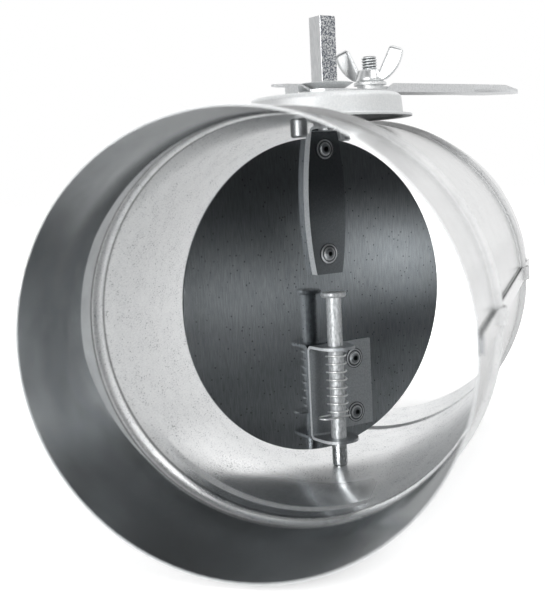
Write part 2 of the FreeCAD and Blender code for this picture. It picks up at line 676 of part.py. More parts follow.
def make_retainer():
    """Dished washer pushed down the rod, which holds the lever: flat floor, square hole and a flared rim."""
    body = new_body("lever_retainer")
    dish = new_sketch(body, "XZ_Plane")
    lip = "retainer_rim_radius - retainer_floor_radius"
    flare = f"sqrt(({lip}) ^ 2 + retainer_height ^ 2)"
    outline(
        dish,
        ("0", "0"),
        ("retainer_floor_radius", "0"),
        ("retainer_rim_radius", "retainer_height"),
        ("retainer_rim_radius - retainer_sheet * 0.8", "retainer_height + retainer_sheet * 0.3"),
        (f"retainer_floor_radius - retainer_sheet * retainer_height / ({flare}) * 0.5", "retainer_sheet"),
        ("0", "retainer_sheet"),
    )
    revolve(dish)
    square = new_sketch(body, "XY_Plane")
    half = "(rod_side / 2 + fit_clearance)"
    rectangle(square, f"0 - {half}", half, f"0 - {half}", half)
    pocket(square, "retainer_sheet", backwards=True)
    return seat(body, z="lever_face")


def make_lever():
    """Stamped lever: hub on the rod, upturned edges out to a rounded tip, and a raised pointer behind."""
    body = new_body("lever")
    blank = new_sketch(body, "XY_Plane")
    grip_start = "(lever_reach - 3 * lever_taper)"
    root_angle = "asin(lever_root_half_width / lever_hub_radius)"
    grip = "(lever_tip_half_width + lever_paddle)"
    hub_arc = ("Radius", "lever_hub_radius", 1)
    swell = ("Radius", "lever_taper * 4", 1)
    outline(
        blank,
        ("lever_reach", "0 - lever_tip_half_width * 0.3"),
        ("lever_reach", "lever_tip_half_width * 0.3"),
        ("lever_reach - lever_taper", grip, swell),
        (grip_start, "lever_tip_half_width"),
        (f"lever_hub_radius * cos({root_angle})", "lever_root_half_width", hub_arc),
        ("0 - lever_hub_radius", "0", hub_arc),
        (f"lever_hub_radius * cos({root_angle})", "0 - lever_root_half_width"),
        (grip_start, "0 - lever_tip_half_width", swell),
        ("lever_reach - lever_taper", f"0 - {grip}"),
    )
    pad(blank, "lever_sheet")
    edges = new_sketch(body, "XY_Plane", lift="lever_sheet")
    run = f"({grip_start} - lever_hub_radius * cos({root_angle}))"
    slope = f"((lever_root_half_width - lever_tip_half_width) / {run})"
    past_root = f"(lever_flange_start - lever_hub_radius * cos({root_angle}))"
    start_half = f"(lever_root_half_width - {slope} * {past_root})"
    for side in ("1", "-1"):
        outline(
            edges,
            ("lever_flange_start", f"{side} * {start_half}"),
            (grip_start, f"{side} * lever_tip_half_width"),
            ("lever_reach - lever_taper * 0.2", f"{side} * lever_tip_half_width * 0.62"),
            ("lever_reach - lever_taper * 0.2", f"{side} * (lever_tip_half_width * 0.62 - lever_sheet)"),
            (grip_start, f"{side} * (lever_tip_half_width - lever_sheet)"),
            ("lever_flange_start", f"{side} * ({start_half} - lever_sheet)"),
        )
    pad(edges, "lever_flange_height - lever_sheet")
    tip_cut = new_sketch(body, "XZ_Plane")
    outline(
        tip_cut,
        ("lever_reach - lever_taper", "lever_flange_height * 1.2"),
        ("lever_reach - lever_taper", "lever_flange_height"),
        ("lever_reach", "lever_sheet"),
        ("lever_reach * 1.01", "lever_sheet"),
        ("lever_reach * 1.01", "lever_flange_height * 1.2"),
    )
    pocket(tip_cut, "lever_root_half_width * 4", both_ways=True)
    root_cut = new_sketch(body, "XZ_Plane")
    outline(
        root_cut,
        ("lever_flange_start * 0.95", "lever_sheet"),
        ("lever_flange_start", "lever_sheet"),
        ("lever_flange_start + lever_flange_height", "lever_flange_height"),
        ("lever_flange_start + lever_flange_height", "lever_flange_height * 1.2"),
        ("lever_flange_start * 0.95", "lever_flange_height * 1.2"),
    )
    pocket(root_cut, "lever_root_half_width * 4", both_ways=True)
    half = "(rod_side / 2 + fit_clearance)"
    openings = new_sketch(body, "XY_Plane")
    rectangle(openings, f"0 - {half}", half, f"0 - {half}", half)
    circle(openings, "screw_station", "0", "screw_diameter / 2 + screw_clearance")
    pocket(openings, "lever_sheet", backwards=True)
    tail = new_sketch(body, "XZ_Plane")
    ramp_top = "0 - pointer_ramp_start - pointer_ramp_length"
    outline(
        tail,
        ("0 - pointer_ramp_start", "0"),
        ("0 - pointer_ramp_start", "lever_sheet"),
        (ramp_top, "pointer_rise + pointer_sheet"),
        ("0 - pointer_reach", "pointer_rise + pointer_sheet"),
        ("0 - pointer_reach", "pointer_rise"),
        (ramp_top, "pointer_rise"),
    )
    pad(tail, "pointer_half_width * 2", both_ways=True)
    taper = new_sketch(body, "XY_Plane", lift="pointer_rise")
    lug_end = "0 - lug_station - lug_width / 2"
    for side in ("1", "-1"):
        outline(
            taper,
            (lug_end, f"{side} * pointer_half_width"),
            ("0 - pointer_reach", f"{side} * pointer_tip_half_width"),
            ("0 - pointer_reach - pointer_sheet", f"{side} * pointer_tip_half_width"),
            ("0 - pointer_reach - pointer_sheet", f"{side} * (pointer_half_width + pointer_sheet)"),
            (lug_end, f"{side} * (pointer_half_width + pointer_sheet)"),
        )
    pocket(taper, "pointer_sheet * 2", backwards=True)
    lug = new_sketch(body, "XY_Plane", lift="pointer_rise")
    rectangle(
        lug,
        lug_end,
        "0 - lug_station + lug_width / 2",
        "0 - pointer_half_width",
        "pointer_sheet - pointer_half_width",
    )
    pad(lug, "pointer_rise + washer_sheet + bearing_clearance - lug_gap", backwards=True)
    return seat(body, z="lever_floor")


def make_lock_screw():
    """Round-headed screw under the dial, with a square neck that slides in the arc slot."""
    body = new_body("lock_screw")
    shank = new_sketch(body, "XZ_Plane")
    under = "(0 - dial_sheet)"
    end = "lever_face - dial_top + screw_above_lever"
    dome = ("Radius", "screw_head_height * 1.4", 1)
    outline(
        shank,
        ("0", f"{under} - screw_head_height"),
        ("screw_head_radius * 0.7", f"{under} - screw_head_height", dome),
        ("screw_head_radius", under),
        ("screw_diameter / 2", under),
        ("screw_diameter / 2", f"{end} - screw_diameter / 10"),
        ("screw_diameter * 0.4", end),
        ("0", end),
    )
    revolve(shank)
    neck = new_sketch(body, "XY_Plane", lift=under)
    half = "screw_diameter / 2"
    rectangle(neck, f"0 - {half}", half, f"0 - {half}", half)
    pad(neck, "dial_sheet")
    return seat(body, x="screw_station", z="dial_top")


def make_wing_nut():
    """Forged nut: a low conical hub and two broad wings that rise and flare outwards."""
    body = new_body("wing_nut")
    hub = new_sketch(body, "XZ_Plane")
    outline(
        hub,
        ("0", "0"),
        ("nut_foot_radius * 0.85", "0"),
        ("nut_foot_radius", "nut_height * 0.15"),
        ("nut_foot_radius", "nut_height * 0.3"),
        ("nut_crown_radius", "nut_height"),
        ("0", "nut_height"),
    )
    revolve(hub)
    wing = new_sketch(body, "XZ_Plane")
    outline(
        wing,
        ("nut_crown_radius * 0.9", "nut_height * 0.1"),
        ("nut_foot_radius * 1.1", "nut_height * 0.1", ("Radius", "wing_curve", 1)),
        ("wing_span", "wing_height - wing_breadth / 2"),
        ("wing_span - wing_breadth * 0.8", "wing_height"),
        ("wing_span - wing_breadth", "wing_height - wing_breadth * 0.12"),
        ("nut_crown_radius * 1.15", "nut_height"),
        ("nut_crown_radius * 0.9", "nut_height"),
    )
    wing_pad = pad(wing, "wing_sheet", both_ways=True)
    mirror = body.newObject("PartDesign::Mirrored", "wing_nut_second_wing")
    mirror.Originals = [wing_pad]
    mirror.MirrorPlane = (plane_of(body, "YZ_Plane"), [""])
    body.Tip = mirror
    doc.recompute()
    bore = new_sketch(body, "XY_Plane")
    circle(bore, "0", "0", "screw_diameter / 2 + thread_clearance")
    pocket(bore, "nut_height * 1.2", backwards=True)
    seat(body, x="screw_station", z="nut_base")
    body.setExpression("Placement.Rotation.Angle", formula("(rest_opening + nut_rest_turn) * 1 deg"))
    doc.recompute()
    return body


# Spring pin and its bracket

def make_pin_bracket():
    """Plate riveted to the blade, with two ears bent forward that guide the spring pin."""
    body = new_body("pin_bracket")
    ears = new_sketch(body, "YZ_Plane")
    top, bottom = "pin_bracket_top", "pin_bracket_bottom"
    back, front = "blade_setback", "(blade_setback - bracket_sheet)"
    inside = ("Radius", "pin_bracket_bend", -1)
    outside = ("Radius", "pin_bracket_bend + bracket_sheet", 1)
    outline(
        ears,
        (back, f"{bottom} + pin_bracket_bend + bracket_sheet"),
        (back, f"{top} - pin_bracket_bend - bracket_sheet", outside),
        (f"{front} - pin_bracket_bend", top),
        ("0 - pin_ear_radius", top),
        ("0 - pin_ear_radius", f"{top} - bracket_sheet"),
        (f"{front} - pin_bracket_bend", f"{top} - bracket_sheet", inside),
        (front, f"{top} - bracket_sheet - pin_bracket_bend"),
        (front, f"{bottom} + bracket_sheet + pin_bracket_bend", inside),
        (f"{front} - pin_bracket_bend", f"{bottom} + bracket_sheet"),
        ("0 - pin_ear_radius", f"{bottom} + bracket_sheet"),
        ("0 - pin_ear_radius", bottom),
        (f"{front} - pin_bracket_bend", bottom, outside),
    )
    pad(ears, "pin_ear_radius * 2", both_ways=True)
    corners = [("0 - pin_ear_radius", "0 - pin_ear_radius"), ("pin_ear_radius", "0 - pin_ear_radius")]
    round_edges(body, "pin_ear_radius * 0.97", upright_at(*corners))
    plate = new_sketch(body, "XZ_Plane", lift=f"0 - {back}")
    edge = "pin_bracket_bend + bracket_sheet"
    rectangle(plate, "0", "pin_bracket_right", f"{bottom} + {edge}", f"{top} - {edge} * 0.5")
    pad(plate, "bracket_sheet")
    holes = new_sketch(body, "XZ_Plane", lift=f"0 - {front}")
    for height in ("pin_rivet_high", "pin_rivet_low"):
        circle(holes, "pin_rivet_across", height, "rivet_radius + rivet_clearance")
    pocket(holes, "bracket_sheet * 2", both_ways=True)
    bore = new_sketch(body, "XY_Plane")
    circle(bore, "0", "0", "pin_radius + pin_clearance")
    pocket(bore, f"0 - {bottom} + bracket_sheet")
    return seat(body)


def make_spring_pin():
    """Flat-headed pin with a groove for its clip and a turned-down end that enters the sleeve."""
    body = new_body("spring_pin")
    turned = new_sketch(body, "XZ_Plane")
    mark = "(pin_bracket_bottom - pin_mark_width * 2)"
    groove = "clip_wire * 0.55"
    outline(
        turned,
        ("0", "pin_end"),
        ("pin_tip_diameter / 2 - 0.5", "pin_end"),
        ("pin_tip_diameter / 2", "pin_end + 0.5"),
        ("pin_tip_diameter / 2", "pin_shoulder"),
        ("pin_radius - pin_shoulder_chamfer * 0.5", "pin_shoulder"),
        ("pin_radius", "pin_shoulder + pin_shoulder_chamfer"),
        ("pin_radius", f"{mark} - pin_mark_width"),
        ("pin_radius - pin_mark_depth", f"{mark} - pin_mark_width"),
        ("pin_radius - pin_mark_depth", mark),
        ("pin_radius", mark),
        ("pin_radius", f"clip_station - {groove}"),
        ("pin_radius - clip_groove_depth", f"clip_station - {groove}"),
        ("pin_radius - clip_groove_depth", f"clip_station + {groove}"),
        ("pin_radius", f"clip_station + {groove}"),
        ("pin_radius", "0"),
        ("pin_head_radius - 0.5", "0"),
        ("pin_head_radius", "pin_head_height * 0.4"),
        ("pin_head_radius - 0.4", "pin_head_height"),
        ("0", "pin_head_height"),
    )
    revolve(turned)
    return seat(body)


def make_pin_clip():
    """Hairpin of spring wire across the pin's groove, its closed loop standing out on the left."""
    body = new_body("pin_clip")
    path = new_sketch(body, "XY_Plane", lift="clip_station")
    bend = "clip_reach_left - clip_leg - clip_wire / 2"
    open_x, bend_x, leg = value("clip_reach_right"), -value(bend), value("clip_leg")
    far = path.addGeometry(Part.LineSegment(V(open_x, leg, 0), V(bend_x, leg, 0)))
    half_turn = arc_between(V(bend_x, leg, 0), V(bend_x, -leg, 0), ("DistanceX", f"0 - ({bend})", 1))
    loop = path.addGeometry(half_turn)
    near = path.addGeometry(Part.LineSegment(V(bend_x, -leg, 0), V(open_x, -leg, 0)))
    path.addConstraint(Sketcher.Constraint("Coincident", far, 2, loop, 1))
    path.addConstraint(Sketcher.Constraint("Coincident", loop, 2, near, 1))
    for line, start, side in ((far, 1, ""), (near, 2, "0 - ")):
        hold(path, "DistanceX", line, start, "clip_reach_right")
        hold(path, "DistanceY", line, start, side + "clip_leg")
        hold(path, "DistanceX", line, 3 - start, "0 - (" + bend + ")")
        hold(path, "DistanceY", line, 3 - start, side + "clip_leg")
    hold(path, "DistanceX", loop, 3, f"0 - ({bend})")
    section = new_sketch(body, "YZ_Plane", lift="clip_reach_right")
    circle(section, "clip_leg", "clip_station", "clip_wire / 2")
    wire = body.newObject("PartDesign::AdditivePipe", "pin_clip_wire")
    wire.Profile = section
    wire.Spine = path
    doc.recompute()
    return seat(body)


def make_pin_spring():
    """Open coil spring round the pin, between the upper ear and the clip, its wire drawn eight-sided."""
    body = new_body("pin_spring")
    section = new_sketch(body, "XZ_Plane")
    corners = []
    for turn in range(8):
        angle = f"({turn} * 45 + 22.5) * 1 deg"
        corners.append((
            f"spring_radius + spring_wire / 2 * cos({angle})",
            f"spring_foot + spring_wire / 2 * sin({angle})",
        ))
    outline(section, *corners)
    coil = body.newObject("PartDesign::AdditiveHelix", "pin_spring_coil")
    coil.Profile = section
    coil.ReferenceAxis = (section, ["V_Axis"])
    coil.Mode = "pitch-turns-angle"
    pitch = "(spring_top - spring_foot) / spring_turns"
    coil.Pitch = value(pitch)
    coil.Turns = value("spring_turns")
    coil.setExpression("Pitch", formula(pitch))
    coil.setExpression("Turns", formula("spring_turns"))
    doc.recompute()
    return seat(body)


# The whole damper

screw_hole = "screw_diameter / 2 + screw_clearance"
rod_grip = "rod_bracket_depth + blade_sheet"
pin_grip = "bracket_sheet + blade_sheet"
pin_front = "blade_setback - bracket_sheet"

washer_floor = "dial_top + bearing_clearance"
hub_hole = "rod_swing + screw_clearance"

subparts = [
    make_casing(),
    make_dial(),
    make_dial_rivet("dial_rivet_front", "-"),
    make_dial_rivet("dial_rivet_rear", "+"),
    make_blade(),
    make_rod_bracket(),
    make_square_rod(),
    make_washer("hub_washer", "hub_washer_radius", hub_hole, "0", washer_floor),
    make_washer("lever_washer", "lever_washer_radius", screw_hole, "screw_station", washer_floor),
    make_lever(),
    make_retainer(),
    make_lock_screw(),
    make_lock_washer(),
    make_washer("nut_washer", "nut_washer_radius", screw_hole, "screw_station", "nut_washer_floor"),
    make_wing_nut(),
    make_pin_bracket(),
    make_spring_pin(),
    make_pin_spring(),
    make_pin_clip(),
]
for end in ("upper", "lower"):
    high = {"upper": "high", "lower": "low"}[end]
    for bracket, across, front, grip in (
        ("rod_bracket", "rod_rivet_across", "bracket_front", rod_grip),
        ("pin_bracket", "pin_rivet_across", pin_front, pin_grip),
    ):
        height = across.replace("across", high)
        subparts.append(make_bracket_rivet(f"{bracket}_rivet_{end}", across, front, height, grip))

doc.recompute()
failed = [item.Name for item in doc.Objects if {"Invalid", "Error"} & set(item.State)]
if failed:
    raise RuntimeError("failed features: " + ", ".join(failed))
os.makedirs("parts", exist_ok=True)
for body in subparts:
    if body.Shape.isNull() or not body.Shape.isValid():
        raise RuntimeError(body.Label + " has no valid solid")
    body.Shape.exportStep(f"parts/{body.Label}.step")
    box = body.Shape.BoundBox
    volume = body.Shape.Volume / 1000
    print(f"{body.Label}: {len(body.Shape.Solids)} solid, {volume:.2f} cm3, top {box.ZMax:.1f} mm")
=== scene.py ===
import math

import bpy
import numpy as np
from mathutils import Euler, Matrix, Vector


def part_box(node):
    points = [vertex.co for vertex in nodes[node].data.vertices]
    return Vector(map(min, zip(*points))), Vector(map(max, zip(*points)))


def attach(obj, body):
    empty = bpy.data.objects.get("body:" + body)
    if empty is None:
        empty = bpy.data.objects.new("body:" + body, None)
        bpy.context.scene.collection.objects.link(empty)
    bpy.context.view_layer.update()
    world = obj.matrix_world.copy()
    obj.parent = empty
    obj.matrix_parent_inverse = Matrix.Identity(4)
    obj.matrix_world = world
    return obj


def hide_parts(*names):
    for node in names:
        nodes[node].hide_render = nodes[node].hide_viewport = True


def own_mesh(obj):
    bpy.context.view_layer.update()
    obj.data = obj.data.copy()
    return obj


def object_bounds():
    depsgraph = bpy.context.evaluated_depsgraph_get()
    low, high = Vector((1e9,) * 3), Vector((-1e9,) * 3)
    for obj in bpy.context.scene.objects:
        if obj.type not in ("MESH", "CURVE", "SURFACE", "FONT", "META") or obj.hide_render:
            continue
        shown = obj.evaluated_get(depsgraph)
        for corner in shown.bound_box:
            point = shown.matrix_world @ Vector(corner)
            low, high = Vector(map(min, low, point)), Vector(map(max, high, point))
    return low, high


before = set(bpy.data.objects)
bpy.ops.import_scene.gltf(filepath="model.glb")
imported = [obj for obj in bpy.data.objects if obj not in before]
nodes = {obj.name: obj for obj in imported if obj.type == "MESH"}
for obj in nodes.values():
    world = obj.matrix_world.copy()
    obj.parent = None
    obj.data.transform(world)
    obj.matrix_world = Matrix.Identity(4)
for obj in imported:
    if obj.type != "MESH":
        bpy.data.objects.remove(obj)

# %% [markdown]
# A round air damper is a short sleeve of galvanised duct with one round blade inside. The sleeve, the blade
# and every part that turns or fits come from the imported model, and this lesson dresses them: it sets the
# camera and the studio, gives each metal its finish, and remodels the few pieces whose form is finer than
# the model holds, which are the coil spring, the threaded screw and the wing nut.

cad_box = [list(corner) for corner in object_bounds()]
MM = 0.001
print("nodes", len(nodes))

# %% [markdown]
# The camera stands low in front of the inlet and a little to its right, and looks slightly down the duct.
# Its place, turn and lens were worked out from the rims, the rod and the pin in the photograph, so they are
# kept as measured numbers. It could be aimed with a Track To constraint, but a constraint loses the small
# roll of a hand-held picture. The near rim is out of focus there, so the lens is focused just behind the
# pin.

# %% Camera
CAMERA_PLACE = Vector((125.63, -360.49, 63.19)) * MM
CAMERA_YAW, CAMERA_PITCH, CAMERA_ROLL = 0.2950, -0.1170, 0.0484
CAMERA_LENS, CAMERA_FILM = 63.03, 36.0
CAMERA_SHIFT = (0.00125, -0.00106)
CAMERA_FOCUS, CAMERA_STOP = 0.555, 13

turn = Euler((0, 0, CAMERA_YAW)).to_matrix() @ Euler((CAMERA_PITCH, 0, 0)).to_matrix()
turn = turn @ Euler((0, CAMERA_ROLL, 0)).to_matrix() @ Euler((math.pi / 2, 0, 0)).to_matrix()
lens = bpy.data.cameras.new("camera")
lens.lens = CAMERA_LENS
lens.sensor_fit = "AUTO"
lens.sensor_width = CAMERA_FILM
lens.shift_x, lens.shift_y = CAMERA_SHIFT
lens.clip_start = 0.01
lens.dof.use_dof = True
lens.dof.focus_distance = CAMERA_FOCUS
lens.dof.aperture_fstop = CAMERA_STOP
camera = bpy.data.objects.new("camera", lens)
camera.matrix_world = Matrix.Translation(CAMERA_PLACE) @ turn.to_4x4()
bpy.context.scene.collection.objects.link(camera)
bpy.context.scene.camera = camera
bpy.context.scene.view_settings.view_transform = "Standard"
print("camera", tuple(round(part, 3) for part in camera.location))

# %% [markdown]
# Every finish below is a small network of nodes. Two helpers keep the networks short: one turns a colour as
# it is written on a screen into the linear light that Blender counts in, and one adds any node, sets it and
# joins its inputs, by the sockets' names or by their numbers. A Map Range node carries what socket 0 brings
# from the range between sockets 1 and 2 to the range between 3 and 4. A Mix node has its factor at 0, takes
# plain numbers at 2 and 3 or colours at 6 and 7, and gives a number at 0 or a colour at 2. Its three settings
# are named once.

# %% Colours and nodes
def linear(hex_colour):
    """sRGB hex to linear: below 0.04045 a straight line, above it the power curve of 2.4."""
    parts = np.array([int(hex_colour[at:at + 2], 16) for at in (1, 3, 5)]) / 255
    light = np.where(parts <= 0.04045, parts / 12.92, ((parts + 0.055) / 1.055) ** 2.4)
    return (*light.tolist(), 1.0)


BLEND = {"data_type": "RGBA"}
TIMES = {"data_type": "RGBA", "blend_type": "MULTIPLY"}
NUMBERS = {"data_type": "FLOAT"}


def add(tree, kind, options=None, inputs=None, stops=()):
    """Adds one node: options are its settings, inputs the sockets' values or the outputs that feed them, and
    stops a ramp's (place, sRGB hex or plain number) pairs."""
    made = tree.nodes.new("ShaderNode" + kind)
    for name, setting in (options or {}).items():
        setattr(made, name, setting)
    for _ in stops[2:]:
        made.color_ramp.elements.new(0.5)
    for element, (place, colour) in zip(made.color_ramp.elements if stops else (), stops):
        element.position = place
        element.color = linear(colour) if isinstance(colour, str) else (colour, colour, colour, 1)
    for name, given in (inputs or {}).items():
        socket = made.inputs[name]
        if isinstance(given, bpy.types.NodeSocket):
            tree.links.new(given, socket)
        else:
            socket.default_value = given
    return made


def new_material(name):
    """An empty material with its output and one metal shader, joined."""
    material = bpy.data.materials.new(name)
    material.use_nodes = True
    tree = material.node_tree
    tree.nodes.clear()
    shader = add(tree, "BsdfPrincipled", inputs={"Metallic": 1.0})
    add(tree, "OutputMaterial", inputs={"Surface": shader.outputs["BSDF"]})
    return material, tree, shader


def grain(tree, size, stretch=(1, 1, 1), turned=(0, 0, 0), detail=3.0):
    """Noise on Object coordinates whose lumps are size millimetres wide, longer along the stretched axes."""
    where = add(tree, "TexCoord").outputs["Object"]
    scale = [1 / (size * MM * long) for long in stretch]
    placed = add(tree, "Mapping", inputs={"Vector": where, "Rotation": turned, "Scale": scale})
    noise = add(tree, "TexNoise", inputs={"Vector": placed.outputs["Vector"], "Scale": 1.0, "Detail": detail})
    return noise.outputs["Fac"]


def cells(tree, size):
    """The distance to the nearest centre of cells on Object coordinates, size millimetres wide."""
    where = add(tree, "TexCoord").outputs["Object"]
    placed = add(tree, "Mapping", inputs={"Vector": where, "Scale": [1 / (size * MM)] * 3})
    found = add(tree, "TexVoronoi", {"feature": "F1"}, {"Vector": placed.outputs["Vector"], "Scale": 1.0})
    return found.outputs["Distance"]


# %% [markdown]
# The photograph was lit in a white studio: the backdrop is pure white, the side of the duct that faces it is
# almost white, and what faces the camera mirrors the darker room. The world is white to the camera. In
# reflections it is white behind the duct and falls off towards the camera's side, as the real room does.

# %% Studio
ROOM_LIGHT = 0.55
ROOM_DARK = "#2c2f31"

world = bpy.data.worlds.new("studio")
bpy.context.scene.world = world
world.use_nodes = True
tree = world.node_tree
tree.nodes.clear()
ray = add(tree, "LightPath")
facing = add(tree, "SeparateXYZ", inputs={"Vector": add(tree, "TexCoord").outputs["Generated"]})
towards_back = add(tree, "MapRange", None, {0: facing.outputs["Y"], 1: -1, 2: 1, 3: 0, 4: 1}).outputs[0]
depth = add(tree, "ValToRGB", None, {0: towards_back}, ((0.25, ROOM_DARK), (0.62, "#ffffff"))).outputs[0]
mirrored = add(tree, "Background", inputs={"Color": depth, "Strength": 1.0})
ambient = add(tree, "Background", inputs={"Color": linear("#ffffff"), "Strength": ROOM_LIGHT})
seen = add(tree, "Background", inputs={"Color": linear("#ffffff"), "Strength": 1.0})
inside = add(tree, "MixShader", inputs={0: ray.outputs["Is Glossy Ray"], 1: ambient.outputs[0],
                                        2: mirrored.outputs[0]})
through = add(tree, "MixShader", inputs={0: ray.outputs["Is Transmission Ray"], 1: inside.outputs[0],
                                         2: seen.outputs[0]})
sky = add(tree, "MixShader", inputs={0: ray.outputs["Is Camera Ray"], 1: through.outputs[0],
                                     2: seen.outputs[0]})
add(tree, "OutputWorld", inputs={"Surface": sky.outputs[0]})
print("studio world")

# %% [markdown]
# The floor is a sheet of matte white paper at the sleeve's lowest point, and it keeps the soft shadow. Away
# from the duct it glows a little for the camera and so fades into the white backdrop, where a plain plane
# would end in a grey horizon. Behind the outlet it glows in reflections too, because the blade and the lower
# wall mirror a lit studio there.

# %% Floor
FLOOR_REACH, FLOOR_MIDDLE = 6.0, 0.15

floor_level = cad_box[0][2]
corners = FLOOR_REACH * np.array([(-1, -1, 0), (1, -1, 0), (1, 1, 0), (-1, 1, 0)], float)
corners[:, 2] = floor_level
ground = bpy.data.meshes.new("floor")
ground.from_pydata(corners.tolist(), [], [(0, 1, 2, 3)])
floor = bpy.data.objects.new("floor", ground)
bpy.context.scene.collection.objects.link(floor)
paper, tree, shader = new_material("seamless_paper_floor")
shader.inputs["Metallic"].default_value = 0.0
shader.inputs["Base Color"].default_value = linear("#f2f2f2")
shader.inputs["Roughness"].default_value = 0.9
ray = add(tree, "LightPath").outputs
where = add(tree, "TexCoord").outputs["Object"]
away = add(tree, "VectorMath", {"operation": "DISTANCE"}, {0: where, 1: (0, FLOOR_MIDDLE, floor_level)})
lifted = add(tree, "MapRange", None,
             {0: away.outputs["Value"], 1: 0.15, 2: 0.45, 3: 0.45, 4: 1.0}).outputs[0]
glow = add(tree, "Math", {"operation": "MULTIPLY"}, {0: ray["Is Camera Ray"], 1: lifted}).outputs[0]
behind = add(tree, "SeparateXYZ", inputs={"Vector": where}).outputs["Y"]
curved_up = add(tree, "MapRange", None, {0: behind, 1: 0.3, 2: 0.9, 3: 0, 4: 0.4}).outputs[0]
glow = add(tree, "Math", {"operation": "MULTIPLY_ADD"},
           {0: ray["Is Glossy Ray"], 1: curved_up, 2: glow}).outputs[0]
shader.inputs["Emission Color"].default_value = linear("#ffffff")
tree.links.new(glow, shader.inputs["Emission Strength"])
ground.materials.append(paper)
print("floor at", round(floor_level, 4))

# %% [markdown]
# Three soft boxes stand for the studio's lamps: one high on the right, one in front on the left, and a weak
# one overhead. Two narrow spot lamps, snoots, shine in through the inlet from the left. Each throws a small
# patch on the wall far inside on the right, which shows only in the blade, as the bright bands of its mirror
# image. The bands could be painted on the blade, but then they wouldn't move when it turns.

# %% Lamps
SLEEVE_MIDDLE = (0, 0.15, 0)
SNOOT_PLACE, SNOOT_BLEND, SNOOT_SIZE = (-0.56, -0.86, 0.0), 0.8, 0.02


def hang(name, light, place, aim):
    """Puts a lamp at a place and turns it to look at a point."""
    lamp = bpy.data.objects.new(name, light)
    turned = (Vector(aim) - Vector(place)).to_track_quat("-Z", "Y").to_matrix().to_4x4()
    lamp.matrix_world = Matrix.Translation(place) @ turned
    bpy.context.scene.collection.objects.link(lamp)


def softbox(name, place, size, power):
    """A square area lamp that looks at the sleeve's middle."""
    light = bpy.data.lights.new(name, "AREA")
    light.shape, light.size, light.energy = "SQUARE", size, power
    hang(name, light, place, SLEEVE_MIDDLE)


def snoot(name, aim, spread, power):
    """A spot lamp whose narrow beam is spread degrees wide and ends softly."""
    light = bpy.data.lights.new(name, "SPOT")
    light.energy, light.spot_size = power, math.radians(spread)
    light.spot_blend, light.shadow_soft_size = SNOOT_BLEND, SNOOT_SIZE
    hang(name, light, SNOOT_PLACE, aim)


softbox("key_right", (1.0, -0.75, 0.95), 0.8, 10)
softbox("front", (-0.32, -1.1, 0.15), 0.8, 16)
snoot("snoot", (0.088, 0.216, 0.018), 2.7, 1100)
snoot("near_snoot", (0.088, 0.13, -0.014), 3.8, 190)
softbox("top", (0.1, -0.2, 1.5), 1.2, 3)
print("lamps 5")

# %% [markdown]
# Hot-dip galvanised sheet is steel with a skin of zinc that froze in flat crystals, the spangle. On a thin
# duct the crystals are small and the light grey surface looks matte with a soft grain. One material covers
# the whole sleeve and tells its zones apart by place: y runs down the duct from the inlet rim, and z is up.
# Inside and outside are told apart by the normal, which points to the duct's axis inside.

# %% Zones of the sheet
COLLAR_END, STRIP_END, EDGE = 65.0, 86.0, 0.25
RAMP_LENGTH, SLEEVE_LENGTH = 200, 298

galvanised, tree, shader = new_material("hot_dip_galvanised_sheet")
where = add(tree, "TexCoord").outputs
x, y, z = add(tree, "SeparateXYZ", inputs={"Vector": where["Object"]}).outputs
spoke = add(tree, "CombineXYZ", inputs={"X": x, "Z": z}).outputs[0]
outwards = add(tree, "VectorMath", {"operation": "DOT_PRODUCT"}, {0: spoke, 1: where["Normal"]})
within = add(tree, "MapRange", None,
             {0: outwards.outputs["Value"], 1: -10 * MM, 2: 10 * MM, 3: 1, 4: 0}).outputs[0]
ahead = add(tree, "MapRange", None,
            {0: y, 1: (COLLAR_END - 1) * MM, 2: (COLLAR_END + 1) * MM, 3: 1, 4: 0}).outputs[0]
collar = add(tree, "Math", {"operation": "MULTIPLY"}, {0: ahead, 1: within}).outputs[0]
rolled = add(tree, "MapRange", None,
             {0: y, 1: STRIP_END * MM, 2: (STRIP_END + 8) * MM, 3: 1, 4: 0}).outputs[0]
edge = add(tree, "MapRange", None, {0: y, 1: EDGE * MM, 2: (EDGE + 0.1) * MM, 3: 1, 4: 0}).outputs[0]
along = add(tree, "MapRange", None, {0: y, 1: 0, 2: RAMP_LENGTH * MM, 3: 0, 4: 1}).outputs[0]
low = add(tree, "MapRange", None, {0: z, 1: -80 * MM, 2: -55 * MM, 3: 1, 4: 0}).outputs[0]
print(galvanised.name)

# %% [markdown]
# The zinc is pale with small darker specks. In front of the first bead the collar's inside is painted greyer,
# a painted dark reflection, and lines of painted shade lie in the creases on both sides of the bead.

# %% Tones of the sheet
SHEET_LIGHT, SHEET_DARK, SHEET_SPECK = "#fafbfb", "#ecedee", "#b2b5b6"
# painted shade: the tones of the collar's greyer inside, a painted dark reflection
COLLAR_SHADE_LIGHT, COLLAR_SHADE_DARK = "#a4a8aa", "#95999b"

fine = grain(tree, 0.55, stretch=(1, 3.0, 1), turned=(0.5, 0.3, 0.6), detail=2.0)
patchy = grain(tree, 9.0, detail=2.0)
mottle = add(tree, "Mix", NUMBERS, {0: 0.25, 2: fine, 3: patchy}).outputs[0]
body_tone = add(tree, "ValToRGB", None, {0: mottle}, (
    (0.33, SHEET_SPECK), (0.40, SHEET_DARK), (0.62, SHEET_LIGHT))).outputs[0]
# painted shade: the collar's inside is painted greyer than the sheet
painted_collar_shade = add(tree, "ValToRGB", None, {0: patchy}, ((0.3, COLLAR_SHADE_DARK), (0.7, COLLAR_SHADE_LIGHT))).outputs[0]
